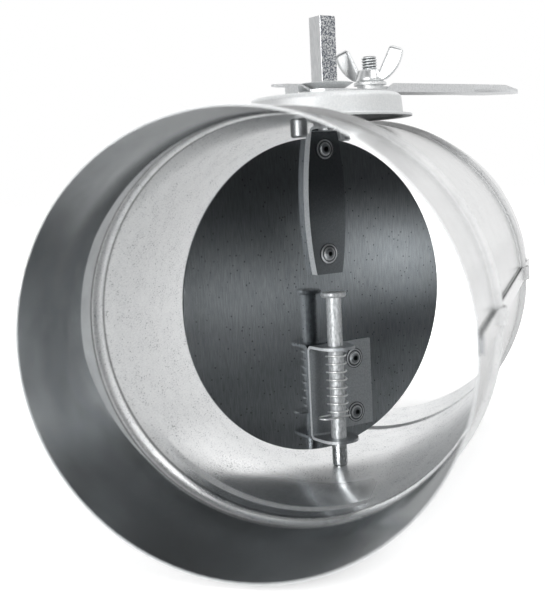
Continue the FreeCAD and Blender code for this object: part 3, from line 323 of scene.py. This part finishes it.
# painted shade: dark lines in the creases on both sides of the bead
painted_crease_shade = add(tree, "ValToRGB", None, {0: along}, (
    (0.317, 1.0), (0.320, 0.35), (0.325, 0.35), (0.328, 1.0), (0.381, 1.0), (0.384, 0.35),
    (0.389, 0.35), (0.393, 1.0))).outputs[0]
tone = add(tree, "Mix", BLEND, {0: collar, 6: body_tone, 7: painted_collar_shade}).outputs[2]
tone = add(tree, "Mix", TIMES, {0: within, 6: tone, 7: painted_crease_shade}).outputs[2]
print("specks, collar and creases")

# %% [markdown]
# Outside, the sheet is painted greyer towards the top as painted shade under the dial, and a painted
# highlight makes it a little brighter over the bead. Inside, the wall on the far right shows only as a mirror
# image in the blade. It is painted darker as painted shade, most towards the top, which keeps the blade dark
# there, while the wall on the left stays pale.

# %% Painted shade and highlight on the sheet
above = add(tree, "MapRange", None, {0: z, 1: 0, 2: 100 * MM, 3: 0, 4: 1}).outputs[0]
# painted shade: the outside is greyer towards the top, under the dial
painted_outside_shading = add(tree, "ValToRGB", None, {0: above}, (
    (0.3, "#eeeeee"), (0.66, "#e4e4e4"), (0.76, "#c4c4c4"), (0.84, "#8c8c8c"))).outputs[0]
# painted highlight: the outside is brighter over the bead
painted_bead_highlight = add(tree, "ValToRGB", None, {0: along}, (
    (0.28, "#f0f0f0"), (0.33, "#ffffff"), (0.40, "#ffffff"), (0.44, "#f0f0f0"))).outputs[0]
painted_outside_shading = add(tree, "Mix", TIMES, {0: 1.0, 6: painted_outside_shading, 7: painted_bead_highlight}).outputs[2]
in_bore = add(tree, "MapRange", None, {0: z, 1: -89 * MM, 2: 89 * MM, 3: 0, 4: 1}).outputs[0]
# painted shade: the inside wall is darker towards the top
painted_wall_shade = add(tree, "ValToRGB", None, {0: in_bore}, (
    (0.18, "#ffffff"), (0.32, "#bdbdbd"), (0.66, "#b4b4b4"), (0.82, "#8c8c8c"))).outputs[0]
# the painted shade lies only on the far right of the inside wall
far_right = add(tree, "MapRange", None, {0: x, 1: 12 * MM, 2: 42 * MM, 3: 0, 4: 1}).outputs[0]
painted_right_wall_shade = add(tree, "Mix", BLEND, {0: far_right, 6: (1, 1, 1, 1), 7: painted_wall_shade}).outputs[2]
painted_sheet_shading = add(tree, "Mix", BLEND, {0: within, 6: painted_outside_shading, 7: painted_right_wall_shade}).outputs[2]
tone = add(tree, "Mix", TIMES, {0: 1.0, 6: tone, 7: painted_sheet_shading}).outputs[2]
print("wear")

# %% [markdown]
# The cut rim at the inlet shows as a thin line, greyer than the sheet. The folded seam ends in it and is
# darker still, because its folds hold shadow.

# %% Rim and end of the seam
EDGE_LIGHT, SEAM_TONE, SEAM_HEIGHT = "#b3b5b6", "#8a8c8e", 2.4

off_seam = add(tree, "Math", {"operation": "SUBTRACT"}, {0: z, 1: SEAM_HEIGHT * MM}).outputs[0]
off_seam = add(tree, "Math", {"operation": "ABSOLUTE"}, {0: off_seam}).outputs[0]
near_seam = add(tree, "MapRange", None, {0: off_seam, 1: 4.0 * MM, 2: 4.6 * MM, 3: 1, 4: 0}).outputs[0]
seam_side = add(tree, "MapRange", None, {0: x, 1: 0, 2: MM, 3: 0, 4: 1}).outputs[0]
at_seam = add(tree, "Math", {"operation": "MULTIPLY"}, {0: near_seam, 1: seam_side}).outputs[0]
rim = add(tree, "Mix", BLEND, {0: at_seam, 6: linear(EDGE_LIGHT), 7: linear(SEAM_TONE)}).outputs[2]
tone = add(tree, "Mix", BLEND, {0: edge, 6: tone, 7: rim}).outputs[2]
tree.links.new(tone, shader.inputs["Base Color"])
print("rim and seam")

# %% [markdown]
# Zinc mirrors, but where it was pressed or cut it also scatters light, and a lower Metallic stands for that.
# It keeps the outside of the beads and the cut rim pale, where a pure mirror would show the dark room. The
# collar's inside scatters only a little.

# %% Scattering zinc
burnished = add(tree, "MapRange", None, {0: collar, 1: 0, 2: 1, 3: 0, 4: 0.1}).outputs[0]
skin = add(tree, "Math", {"operation": "MAXIMUM"}, {0: edge, 1: burnished}).outputs[0]
whole_length = add(tree, "MapRange", None, {0: y, 1: 0, 2: SLEEVE_LENGTH * MM, 3: 0, 4: 1}).outputs[0]
on_beads = add(tree, "ValToRGB", None, {0: whole_length}, (
    (0.205, 0.0), (0.225, 1.0), (0.255, 1.0), (0.275, 0.0), (0.79, 0.0), (0.80, 0.6),
    (0.83, 0.6), (0.84, 0.0))).outputs[0]
outside_only = add(tree, "MapRange", None, {0: within, 1: 0, 2: 1, 3: 0.8, 4: 0}).outputs[0]
scattering = add(tree, "Math", {"operation": "MULTIPLY"}, {0: on_beads, 1: outside_only}).outputs[0]
scattering = add(tree, "Math", {"operation": "MAXIMUM"}, {0: scattering, 1: skin}).outputs[0]
metallic = add(tree, "MapRange", None, {0: scattering, 1: 0, 2: 1, 3: 1, 4: 0}).outputs[0]
tree.links.new(metallic, shader.inputs["Metallic"])
print("beads and rim")

# %% [markdown]
# The beading rollers left bands of gloss low in the duct. The strip just behind the bead mirrors the pin's
# end sharply, and the floor turns rough towards the lower right. The walls are duller than the collar, and
# the outside is fairly smooth.

# %% Gloss of the sheet
ROUGH_RIGHT, ROUGH_OUTSIDE = 0.7, 0.18

rolls = add(tree, "ValToRGB", None, {0: along}, (
    (0.0, 0.21), (0.32, 0.21), (0.33, 0.4), (0.37, 0.4), (0.38, 0.15), (0.428, 0.15),
    (0.432, 0.6), (0.455, 0.6), (0.462, 0.17), (0.60, 0.2), (0.75, 0.42))).outputs[0]
plain = add(tree, "ValToRGB", None, {0: along}, (
    (0.318, 0.21), (0.33, 0.55), (0.38, 0.55), (0.40, 0.48))).outputs[0]
inside = add(tree, "Mix", NUMBERS, {0: low, 2: plain, 3: rolls}).outputs[0]
right = add(tree, "MapRange", None, {0: x, 1: 24 * MM, 2: 52 * MM, 3: 0, 4: 1}).outputs[0]
past_crease = add(tree, "MapRange", None, {0: along, 1: 0.33, 2: 0.35, 3: 0, 4: 1}).outputs[0]
right = add(tree, "Math", {"operation": "MULTIPLY"}, {0: right, 1: past_crease}).outputs[0]
right = add(tree, "Math", {"operation": "MULTIPLY"}, {0: right, 1: low}).outputs[0]
inside = add(tree, "Mix", NUMBERS, {0: right, 2: inside, 3: ROUGH_RIGHT}).outputs[0]
roughness = add(tree, "Mix", NUMBERS, {0: within, 2: ROUGH_OUTSIDE, 3: inside}).outputs[0]
tree.links.new(roughness, shader.inputs["Roughness"])
print("gloss")

# %% [markdown]
# In front of the inlet bead the sheet swells inwards by about a millimetre before it falls into the bead.
# The eye reads this shallow swage only from the band of light that it mirrors, so it is drawn as relief and
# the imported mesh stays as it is. It rises with the square of the way to its crest and falls straight behind
# it, and the crest lies further back near the top and near the bottom.

# %% Swage and grain of the sheet
SWAGE_CREST, SWAGE_RUN, SWAGE_FALL = 54.5, 22.5, 9.5
SWAGE_RISE, SWAGE_SLOPE = 0.0024, -0.09

upper = add(tree, "MapRange", None, {0: z, 1: 40 * MM, 2: 84 * MM, 3: 0, 4: 6.5 * MM}).outputs[0]
lower = add(tree, "MapRange", None, {0: z, 1: -60 * MM, 2: -12 * MM, 3: 8 * MM, 4: 0}).outputs[0]
crest = add(tree, "Math", {"operation": "ADD"}, {0: upper, 1: lower}).outputs[0]
crest = add(tree, "Math", {"operation": "ADD"}, {0: crest, 1: SWAGE_CREST * MM}).outputs[0]
past = add(tree, "Math", {"operation": "SUBTRACT"}, {0: y, 1: crest}).outputs[0]
rising = add(tree, "MapRange", None, {0: past, 1: -SWAGE_RUN * MM, 2: 0, 3: 0, 4: SWAGE_RUN}).outputs[0]
falling = add(tree, "MapRange", None, {0: past, 1: 0, 2: SWAGE_FALL * MM, 3: 0, 4: SWAGE_FALL}).outputs[0]
squared = add(tree, "Math", {"operation": "MULTIPLY"}, {0: rising, 1: rising}).outputs[0]
bowed = add(tree, "Math", {"operation": "MULTIPLY"}, {0: squared, 1: SWAGE_RISE}).outputs[0]
swage = add(tree, "Math", {"operation": "MULTIPLY_ADD"}, {0: falling, 1: SWAGE_SLOPE, 2: bowed}).outputs[0]
grain_depth = add(tree, "MapRange", None, {0: rolled, 1: 0, 2: 1, 3: 0.02, 4: 0.002}).outputs[0]
rough = add(tree, "Math", {"operation": "MULTIPLY"}, {0: fine, 1: grain_depth}).outputs[0]
swage = add(tree, "Math", {"operation": "MULTIPLY_ADD"}, {0: swage, 1: within, 2: rough}).outputs[0]
bump = add(tree, "Bump", None, {"Height": swage, "Strength": 1.0, "Distance": MM})
tree.links.new(bump.outputs["Normal"], shader.inputs["Normal"])
print("swage", SWAGE_CREST)

# %% [markdown]
# The other metals are plated or rolled steels that differ in tone, in grain and in how sharply they mirror.
# One function makes them: a dark and a light tone, a grain of a real size, a range of roughness and a depth
# of relief. What sets each finish apart is passed to it. Two short helpers open a finish again and multiply
# its colour by one more tone, for the painted shade, the painted highlights, the darker tones and the pits
# that follow.

# %% Plated and rolled steels
def steel(name, tones, size, rough, depth, stretch=(1, 1, 1)):
    """A metal whose tone, roughness and relief follow one grain of size millimetres."""
    material, tree, shader = new_material(name)
    fine = grain(tree, size, stretch)
    tone = add(tree, "ValToRGB", None, {0: fine}, ((0.3, tones[0]), (0.7, tones[1]))).outputs[0]
    tree.links.new(tone, shader.inputs["Base Color"])
    roughness = add(tree, "MapRange", None, {0: fine, 1: 0.3, 2: 0.7, 3: rough[0], 4: rough[1]}).outputs[0]
    tree.links.new(roughness, shader.inputs["Roughness"])
    bump = add(tree, "Bump", None, {"Height": fine, "Strength": 1.0, "Distance": depth * MM})
    tree.links.new(bump.outputs["Normal"], shader.inputs["Normal"])
    return material


def opened(slot):
    """The nodes and the shader of a finish made before."""
    tree = finishes[slot].node_tree
    return tree, tree.nodes["Principled BSDF"]


def lay_over(tree, shader, tone):
    """Multiplies the shader's colour by one more tone."""
    before = shader.inputs["Base Color"].links[0].from_socket
    both = add(tree, "Mix", TIMES, {0: 1.0, 6: before, 7: tone}).outputs[2]
    tree.links.new(both, shader.inputs["Base Color"])


finishes = {
    "galvanised_sheet": galvanised,
    # dial: matte and very pale, the brightest plate on top
    "pressed_galvanised": steel("pressed_galvanised_dish", ("#e3e5e6", "#eeefef"), 0.8, (0.66, 0.6), 0.008),
    # rivets: grey and fairly smooth, so each head has one soft highlight
    "blind_rivet": steel("blind_rivet_steel", ("#a8abad", "#c9cbcc"), 0.6, (0.36, 0.28), 0.005),
    # washers: pale and dull, they part the pieces that they lie between
    "plated_washer": steel("bright_zinc_washer", ("#d8dadb", "#eeefef"), 0.7, (0.62, 0.5), 0.01),
    # lever: light zinc whose visible grain softens its highlights
    "stamped_lever": steel("stamped_zinc_lever", ("#d2d4d5", "#e6e7e8"), 0.8, (0.45, 0.35), 0.02),
    # lock screw: pale crests over the dark roots of the thread
    "plated_screw": steel("zinc_screw", ("#d0d3d5", "#f2f3f3"), 0.5, (0.5, 0.38), 0.01),
    # brackets: mid grey, between the pale rod and the dark blade
    "stamped_bracket": steel("stamped_bracket_steel", ("#bcc0c2", "#d4d6d8"), 0.9, (0.42, 0.34), 0.01),
    # spring: nearly white, so its turns stand out against the pin
    "spring_wire": steel("drawn_spring_wire", ("#eceded", "#f8f8f8"), 0.5, (0.42, 0.32), 0.004),
    # pin: darker and mottled along its length
    "plated_pin": steel("turned_zinc_pin", ("#a0a3a5", "#dadcdd"), 0.9, (0.5, 0.36), 0.014, (1, 1, 2.5)),
    # wing nut: bright and smooth, with clear highlights on the wings
    "bright_nut": steel("bright_zinc_nut", ("#dfe1e2", "#eeefef"), 0.8, (0.36, 0.3), 0.004),
    # blade: dark steel, the smoothest of all, that mirrors the wall along its rolling grain
    "rolled_blade": steel("cold_rolled_blade", ("#808487", "#999da0"), 0.45, (0.155, 0.12), 0.0012,
                          (1, 1, 14)),
    # rod: pale zinc drawn out along the bar
    "zinc_rod": steel("zinc_coated_bar", ("#cbcdce", "#e2e3e4"), 0.7, (0.42, 0.32), 0.01, (1, 1, 6)),
}
print("finishes", len(finishes))

# %% [markdown]
# The dish's upright side is painted a little darker than its flat top, as painted shade.

# %% Painted shade on the dish's side
tree, shader = opened("pressed_galvanised")
facing = add(tree, "SeparateXYZ", inputs={"Vector": add(tree, "TexCoord").outputs["Normal"]}).outputs["Z"]
# painted shade: faces that look sideways are darker than the top
painted_side_shade = add(tree, "ValToRGB", None, {0: facing}, ((0.2, "#efefef"), (0.5, "#ffffff"))).outputs[0]
lay_over(tree, shader, painted_side_shade)
print("dish side")

# %% [markdown]
# The pin's plating is dull, so part of the light that falls on it is scattered: it stays pale on the side
# that the blade mirrors. Its lower end is rubbed bright by the hole that it enters and mirrors more.

# %% Dull pin with a rubbed end
RUBBED_BELOW, DULL_ABOVE = -79, -76
PIN_METALLIC = 0.62

tree, shader = opened("plated_pin")
height = add(tree, "SeparateXYZ", inputs={"Vector": add(tree, "TexCoord").outputs["Object"]}).outputs["Z"]
metallic = add(tree, "MapRange", None,
               {0: height, 1: RUBBED_BELOW * MM, 2: DULL_ABOVE * MM, 3: 1.0, 4: PIN_METALLIC}).outputs[0]
tree.links.new(metallic, shader.inputs["Metallic"])
before = shader.inputs["Roughness"].links[0].from_socket
polish = add(tree, "MapRange", None,
             {0: height, 1: RUBBED_BELOW * MM, 2: DULL_ABOVE * MM, 3: 0.6, 4: 1.0}).outputs[0]
rubbed = add(tree, "Math", {"operation": "MULTIPLY"}, {0: before, 1: polish}).outputs[0]
tree.links.new(rubbed, shader.inputs["Roughness"])
print("pin")

# %% [markdown]
# The heads of the four bracket rivets get painted rings round each eye: the dark eye and dark rings are
# painted shade, the white rings painted highlights. A ramp over the distance to the nearest rivet's axis
# draws them. The axes stand square to the blade, so the distance is measured in the blade's own plane.

# %% Ringed rivets
BRACKET_RIVETS = ("rod_bracket_rivet_upper", "rod_bracket_rivet_lower", "pin_bracket_rivet_upper",
                  "pin_bracket_rivet_lower")
RING_REACH = 6
REST_TURN = math.radians(50)
PLANE = (math.cos(REST_TURN), math.sin(REST_TURN), 0)

tree, shader = opened("blind_rivet")
where = add(tree, "TexCoord").outputs["Object"]
reach = add(tree, "VectorMath", {"operation": "DOT_PRODUCT"}, {0: where, 1: PLANE}).outputs["Value"]
height = add(tree, "SeparateXYZ", inputs={"Vector": where}).outputs["Z"]
on_face = add(tree, "CombineXYZ", inputs={"X": reach, "Z": height}).outputs[0]
nearest = None
for name in BRACKET_RIVETS:
    low_corner, high_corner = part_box(name)
    eye = (low_corner + high_corner) / 2
    eye = (eye.dot(Vector(PLANE)), 0, eye.z)
    away = add(tree, "VectorMath", {"operation": "DISTANCE"}, {0: on_face, 1: eye}).outputs["Value"]
    if nearest is not None:
        away = add(tree, "Math", {"operation": "MINIMUM"}, {0: nearest, 1: away}).outputs[0]
    nearest = away
ring_place = add(tree, "MapRange", None, {0: nearest, 1: 0, 2: RING_REACH * MM, 3: 0, 4: 1}).outputs[0]
# painted shade and painted highlights: dark and white rings round each rivet's eye
rings = add(tree, "ValToRGB", None, {0: ring_place}, (
    (0.06, "#a0a2a4"), (0.10, "#26292b"), (0.19, "#26292b"), (0.24, "#a4a6a8"),
    (0.42, "#b0b2b4"), (0.46, "#ffffff"), (0.56, "#f0f0f0"), (0.62, "#5a5d5f"),
    (0.68, "#6a6d6f"), (0.74, "#ffffff"), (0.82, "#ffffff"), (0.86, "#4a4d4f"),
    (0.90, "#4a4d4f"), (0.94, "#ffffff"))).outputs[0]
lay_over(tree, shader, rings)
print("ringed rivets", len(BRACKET_RIVETS))

# %% [markdown]
# The rod's bracket is smoother than the pin's, because it was pressed from the blade's bright steel: its
# face goes dark where the other's stays grey. Both share one finish, whose roughness and tone change with
# height. The brackets' narrow side face was sheared. It scatters light, so it stays pale beside the dark
# face, and that strip tells the eye how deep the bracket is.

# %% Smooth upper bracket with a pale side
SIDE_ROUGHNESS, SIDE_METALLIC = 0.4, 0.25

tree, shader = opened("stamped_bracket")
where = add(tree, "TexCoord").outputs
height = add(tree, "SeparateXYZ", inputs={"Vector": where["Object"]}).outputs["Z"]
sideways = add(tree, "VectorMath", {"operation": "DOT_PRODUCT"},
               {0: where["Normal"], 1: [-part for part in PLANE]}).outputs["Value"]
side_face = add(tree, "MapRange", None, {0: sideways, 1: 0.5, 2: 0.7, 3: 0, 4: 1}).outputs[0]
before = shader.inputs["Roughness"].links[0].from_socket
smoother = add(tree, "MapRange", None, {0: height, 1: 0, 2: 5 * MM, 3: 1.0, 4: 0.4}).outputs[0]
satin = add(tree, "Math", {"operation": "MULTIPLY"}, {0: before, 1: smoother}).outputs[0]
satin = add(tree, "Mix", NUMBERS, {0: side_face, 2: satin, 3: SIDE_ROUGHNESS}).outputs[0]
tree.links.new(satin, shader.inputs["Roughness"])
metallic = add(tree, "MapRange", None, {0: side_face, 1: 0, 2: 1, 3: 1, 4: SIDE_METALLIC}).outputs[0]
tree.links.new(metallic, shader.inputs["Metallic"])
above = add(tree, "MapRange", None, {0: height, 1: 0, 2: 80 * MM, 3: 0, 4: 1}).outputs[0]
upper = add(tree, "ValToRGB", None, {0: above}, (
    (0.04, "#d9dadb"), (0.10, "#7d7f81"), (0.3, "#7f8183"), (0.5, "#9a9d9f"), (0.9, "#9a9d9f"))).outputs[0]
upper = add(tree, "Mix", BLEND, {0: side_face, 6: upper, 7: linear("#ffffff")}).outputs[2]
lay_over(tree, shader, upper)
print("brackets")

# %% [markdown]
# The blade is cold-rolled steel with a thin bright skin: it mirrors the duct's wall and the pin, softly
# drawn out along the rolling grain, and small pits show as dark specks. The pits are the middles of a cell
# pattern.

# %% Pits in the blade
PIT_SPACING = 3.2

tree, shader = opened("rolled_blade")
from_pit = cells(tree, PIT_SPACING)
pits = add(tree, "MapRange", None, {0: from_pit, 1: 0.10, 2: 0.16, 3: 0.35, 4: 1.0}).outputs[0]
lay_over(tree, shader, add(tree, "CombineColor", inputs={0: pits, 1: pits, 2: pits}).outputs[0])
print("pits every", PIT_SPACING, "mm")

# %% [markdown]
# The square rod was cut from zinc-coated bar. Its sides are smooth and pale, but one face is coarsely
# speckled where the coating went on rough. That face looks along -Y when the blade is closed.

# %% Speckled face of the rod
tree, shader = opened("zinc_rod")
rough_side = (math.sin(REST_TURN), -math.cos(REST_TURN), 0)
side = add(tree, "VectorMath", {"operation": "DOT_PRODUCT"},
           {0: add(tree, "TexCoord").outputs["Normal"], 1: rough_side})
mask = add(tree, "MapRange", None, {0: side.outputs["Value"], 1: 0.85, 2: 0.9, 3: 0, 4: 1}).outputs[0]
coarse = grain(tree, 0.75, detail=1.0)
specks = add(tree, "ValToRGB", None, {0: coarse}, (
    (0.38, "#5f6470"), (0.5, "#a9acb0"), (0.62, "#eceded"))).outputs[0]
before = shader.inputs["Base Color"].links[0].from_socket
speckled = add(tree, "Mix", BLEND, {0: mask, 6: before, 7: specks}).outputs[2]
tree.links.new(speckled, shader.inputs["Base Color"])
print("rod")

# %% [markdown]
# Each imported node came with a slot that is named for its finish. Only the material in it is exchanged, and
# the mesh stays as it was packed.

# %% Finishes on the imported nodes
for node in nodes.values():
    for held in node.material_slots:
        held.material = finishes[held.material.name.split(".")[0]]
print("dressed", len(nodes))

# %% [markdown]
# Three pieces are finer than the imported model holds. Each is a surface worked out on a grid: rows run along
# the piece, columns run round it. One function closes the grid round its columns and caps both ends.

# %% Grids to meshes
def tube_mesh(name, grid):
    """Rows of rings (rows, columns, 3): quads between neighbouring rings, closed round, a fan at each end."""
    rows, columns, _ = grid.shape
    ring = np.arange(rows * columns).reshape(rows, columns)
    near, far = ring[:-1], ring[1:]
    quads = np.stack([near, np.roll(near, -1, 1), np.roll(far, -1, 1), far], -1).reshape(-1, 4)
    points = np.concatenate([grid.reshape(-1, 3), grid[:1].mean(1), grid[-1:].mean(1)])
    first, last = rows * columns, rows * columns + 1
    start = np.stack([np.full(columns, first), np.roll(ring[0], -1), ring[0]], -1)
    end = np.stack([np.full(columns, last), ring[-1], np.roll(ring[-1], -1)], -1)
    made = bpy.data.meshes.new(name)
    made.from_pydata(points.tolist(), [], quads.tolist() + start.tolist() + end.tolist())
    made.shade_smooth()
    made.update()
    return made


def place_piece(name, mesh, node, body, slot):
    """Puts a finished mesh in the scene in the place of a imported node."""
    piece = bpy.data.objects.new(name, mesh)
    mesh.materials.append(finishes[slot])
    bpy.context.scene.collection.objects.link(piece)
    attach(piece, body)
    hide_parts(node)
    print(name, len(mesh.polygons), "faces")
    return piece


# %% [markdown]
# The coil spring is one round wire wound in a helix about the pin, closed against the upper ear and ending
# in a free tail beside the clip. Each turn leans a little, so that its front lies almost level and its back
# takes up the pitch. A curve with a bevel would do, but a computed tube keeps the wire's section square to
# its path.

# %% Coil spring
PIVOT_Y = 162 * MM
SPRING_WIRE, SPRING_OUTSIDE = 0.95, 11.2
COIL_PITCH, COIL_LEAN, COIL_DIP = 4.17, 0.75, 0.35
COIL_FRONT = math.radians(-76.5)
FIRST_FRONT = 3.3
TURNS_ABOVE, TURNS_BELOW = 1.4, 7.3
SPRING_POINTS = 460

spring_low, spring_high = (corner.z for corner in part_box("pin_spring"))
turns = np.linspace(-TURNS_ABOVE, TURNS_BELOW, SPRING_POINTS)
top = spring_high - SPRING_WIRE / 2 * MM
bottom = spring_low + SPRING_WIRE / 2 * MM
height = spring_high - FIRST_FRONT * MM - COIL_PITCH * MM * turns
height += COIL_LEAN * MM * np.sin(2 * math.pi * turns)
height += COIL_DIP * MM * (np.cos(2 * math.pi * turns) - 1)
height = np.clip(height, bottom, top)
radius = (SPRING_OUTSIDE - SPRING_WIRE) / 2 * MM
angle = COIL_FRONT - 2 * math.pi * turns
path = np.stack([radius * np.cos(angle), PIVOT_Y + radius * np.sin(angle), height], -1)


def wire_mesh(name, path, radius, sides=12):
    """A round wire: each ring is radius * (cos v * side + sin v * over), square to its path."""
    ahead = np.gradient(path, axis=0)
    ahead /= np.linalg.norm(ahead, axis=1, keepdims=True)
    side = np.cross(ahead, (0, 0, 1))
    side /= np.linalg.norm(side, axis=1, keepdims=True)
    over = np.cross(side, ahead)
    around = np.linspace(0, 2 * math.pi, sides, endpoint=False)[None, :, None]
    rim = np.cos(around) * side[:, None] + np.sin(around) * over[:, None]
    return tube_mesh(name, path[:, None] + radius * rim)


spring = place_piece("coil_spring", wire_mesh("coil_spring", path, SPRING_WIRE / 2 * MM), "pin_spring",
                     "blade", "spring_wire")
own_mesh(spring)

# %% [markdown]
# The lock screw is a carriage bolt of 5/16 inch: a low round head and a square neck under the dial, and
# above them a rolled thread of 18 turns to the inch. The thread is one surface: its radius falls and rises
# as a triangle wave of height and of turn, so that the crest climbs one pitch a turn.

# %% Lock screw
THREAD_PITCH, THREAD_DEPTH = 25.4 / 18, 0.75
SCREW_RADIUS, SCREW_SIDES = 7.94 / 2, 48
NECK, HEAD_RADIUS, HEAD_HEIGHT = 1.0, 5.3, 3.2
END_BEVEL, END_NARROWING = 0.8, 0.16

screw_low, screw_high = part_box("lock_screw")
screw_x, screw_y = (screw_low.x + screw_high.x) / 2, (screw_low.y + screw_high.y) / 2
dial_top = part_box("dial_plate")[1].z
around = np.linspace(0, 2 * math.pi, SCREW_SIDES, endpoint=False)
dome = np.linspace(0.05, 1, 14)
head_z = dial_top - (NECK + HEAD_HEIGHT * np.cos(dome * math.pi / 2)) * MM
head = np.repeat(HEAD_RADIUS * MM * np.sin(dome * math.pi / 2)[:, None], SCREW_SIDES, 1)
neck_z = dial_top + np.array([-NECK, -NECK, 0, 0]) * MM
square = SCREW_RADIUS * MM / np.maximum(abs(np.cos(around)), abs(np.sin(around)))
square = np.minimum(square, HEAD_RADIUS * MM * 0.97)
bare = np.full(SCREW_SIDES, SCREW_RADIUS * MM)
neck = np.stack([bare, square, square, bare])
shank_z = np.arange(dial_top, screw_high.z, THREAD_PITCH / 14 * MM)
phase = (shank_z[:, None] / (THREAD_PITCH * MM) - around[None] / (2 * math.pi)) % 1
wave = np.clip(abs(2 * phase - 1) * 1.25, 0, 1)
shank = (SCREW_RADIUS - THREAD_DEPTH * (1 - wave)) * MM
bevel = np.clip((screw_high.z - shank_z) / (END_BEVEL * MM), 0, 1)[:, None]
shank *= bevel * END_NARROWING + (1 - END_NARROWING)
radii = np.concatenate([head, neck, shank])
levels = np.concatenate([head_z, neck_z, shank_z])
rings = np.stack([screw_x + radii * np.cos(around), screw_y + radii * np.sin(around),
                  np.repeat(levels[:, None], SCREW_SIDES, 1)], -1)
threaded = tube_mesh("lock_screw_threaded", rings)
place_piece("lock_screw_threaded", threaded, "lock_screw", "blade", "plated_screw")

# %% [markdown]
# The roots of the thread are darker, which makes each turn stand out as a dark line, also where the picture
# is too small to show the thread's slope. Its tone follows the distance to the screw's axis.

# %% Darker roots of the thread
tree, shader = opened("plated_screw")
where = add(tree, "TexCoord").outputs["Object"]
from_axis = add(tree, "VectorMath", {"operation": "SUBTRACT"}, {0: where, 1: (screw_x, screw_y, 0)})
flat = add(tree, "VectorMath", {"operation": "MULTIPLY"}, {0: from_axis.outputs[0], 1: (1, 1, 0)})
depth = add(tree, "VectorMath", {"operation": "LENGTH"}, {0: flat.outputs[0]}).outputs["Value"]
root = (SCREW_RADIUS - THREAD_DEPTH) * MM
thread_height = add(tree, "MapRange", None,
                    {0: depth, 1: root, 2: SCREW_RADIUS * MM, 3: 0, 4: 1}).outputs[0]
darker_roots = add(tree, "ValToRGB", None, {0: thread_height}, ((0.1, "#4c4f51"), (0.65, "#ffffff"))).outputs[0]
lay_over(tree, shader, darker_roots)
print("soiled thread")

# %% [markdown]
# The wing nut is forged, so its wings swell out of the hub and every edge is soft. Each wing is a stack of
# rounded sections: one side follows the outer arc, the other the straight inner edge, and the last sections
# close over the tip. A cube with a subdivision modifier would lose the wing's flat faces.

# %% Wing nut
HUB_PROFILE = ((4.0, 0.0), (6.2, 0.0), (6.9, 0.2), (7.2, 0.8), (7.2, 1.5), (7.1, 2.0), (6.0, 5.6),
               (5.75, 6.05), (5.3, 6.2), (4.3, 6.0), (4.0, 5.6))
ARC_RADIUS, ARC_CENTRE = 18.3, (0.564, 17.4)
SECTIONS, WING_SIDES = 30, 40
FACE_POWER = 0.35
WINGS_TURN = math.radians(50 - 61)


def turned_grid(profile, columns=48):
    """A profile of (radius, height) rows turned about the upright axis."""
    around = np.linspace(0, 2 * math.pi, columns, endpoint=False)
    profile = np.array(profile, float)
    radius, height = profile[:, :1], np.repeat(profile[:, 1:], columns, 1)
    return np.stack([radius * np.cos(around), radius * np.sin(around), height], -1)


rise = np.linspace(0, 1, SECTIONS)
outer_turn = np.radians(np.interp(rise, (0, 1), (-64, -6)))
outer = ARC_RADIUS * np.stack([np.cos(outer_turn), np.sin(outer_turn)], -1) + ARC_CENTRE
inner_reach = np.interp(rise, (0, 0.25, 1), (3.2, 5.6, 12.0))
inner_height = np.interp(rise, (0, 0.25, 1), (1.0, 5.2, 18.0))
inner = np.stack([inner_reach, inner_height], -1)
centre, half = (outer + inner) / 2, (outer - inner) / 2
print("wing", SECTIONS, "sections")

# %% [markdown]
# A section's outline is a circle whose sine and cosine are raised to a power below 1, which flattens the two
# faces and rounds the edges between them. Over the last tenth a quarter circle closes the tip.

# %% Wings on the hub
close = np.sqrt(np.clip(1 - (np.clip(rise - 0.9, 0, 1) / 0.1) ** 2, 0.02, 1))[:, None]
around = np.linspace(0, 2 * math.pi, WING_SIDES, endpoint=False)
flat_cos = np.sign(np.cos(around)) * abs(np.cos(around)) ** FACE_POWER
flat_sin = np.sign(np.sin(around)) * abs(np.sin(around)) ** FACE_POWER
thick = np.interp(rise, (0, 0.3, 1), (1.9, 1.5, 1.3))[:, None] * close
across = centre[:, None, 0] + half[:, None, 0] * flat_cos * (0.6 + 0.4 * close)
upright = centre[:, None, 1] + half[:, None, 1] * flat_cos * (0.6 + 0.4 * close)
wing = np.stack([across, -thick * flat_sin, upright], -1)
grids = [turned_grid(HUB_PROFILE), wing, wing * (-1, -1, 1)]
nut_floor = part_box("wing_nut")[0].z
cos_turn, sin_turn = math.cos(WINGS_TURN), math.sin(WINGS_TURN)
spin = np.array([(cos_turn, sin_turn, 0), (-sin_turn, cos_turn, 0), (0, 0, 1)])
offset = np.array([screw_x, screw_y, nut_floor])
shells = [tube_mesh("nut_part", grid * MM @ spin + offset) for grid in grids]
points = [np.array([vertex.co for vertex in shell.vertices]) for shell in shells]
starts = np.cumsum([0] + [len(part) for part in points])
faces = []
for shell, start in zip(shells, starts):
    faces += [[start + corner for corner in face.vertices] for face in shell.polygons]
nut = bpy.data.meshes.new("wing_nut_forged")
nut.from_pydata(np.concatenate(points).tolist(), [], faces)
nut.shade_smooth()
place_piece("wing_nut_forged", nut, "wing_nut", "wing_nut", "bright_nut")
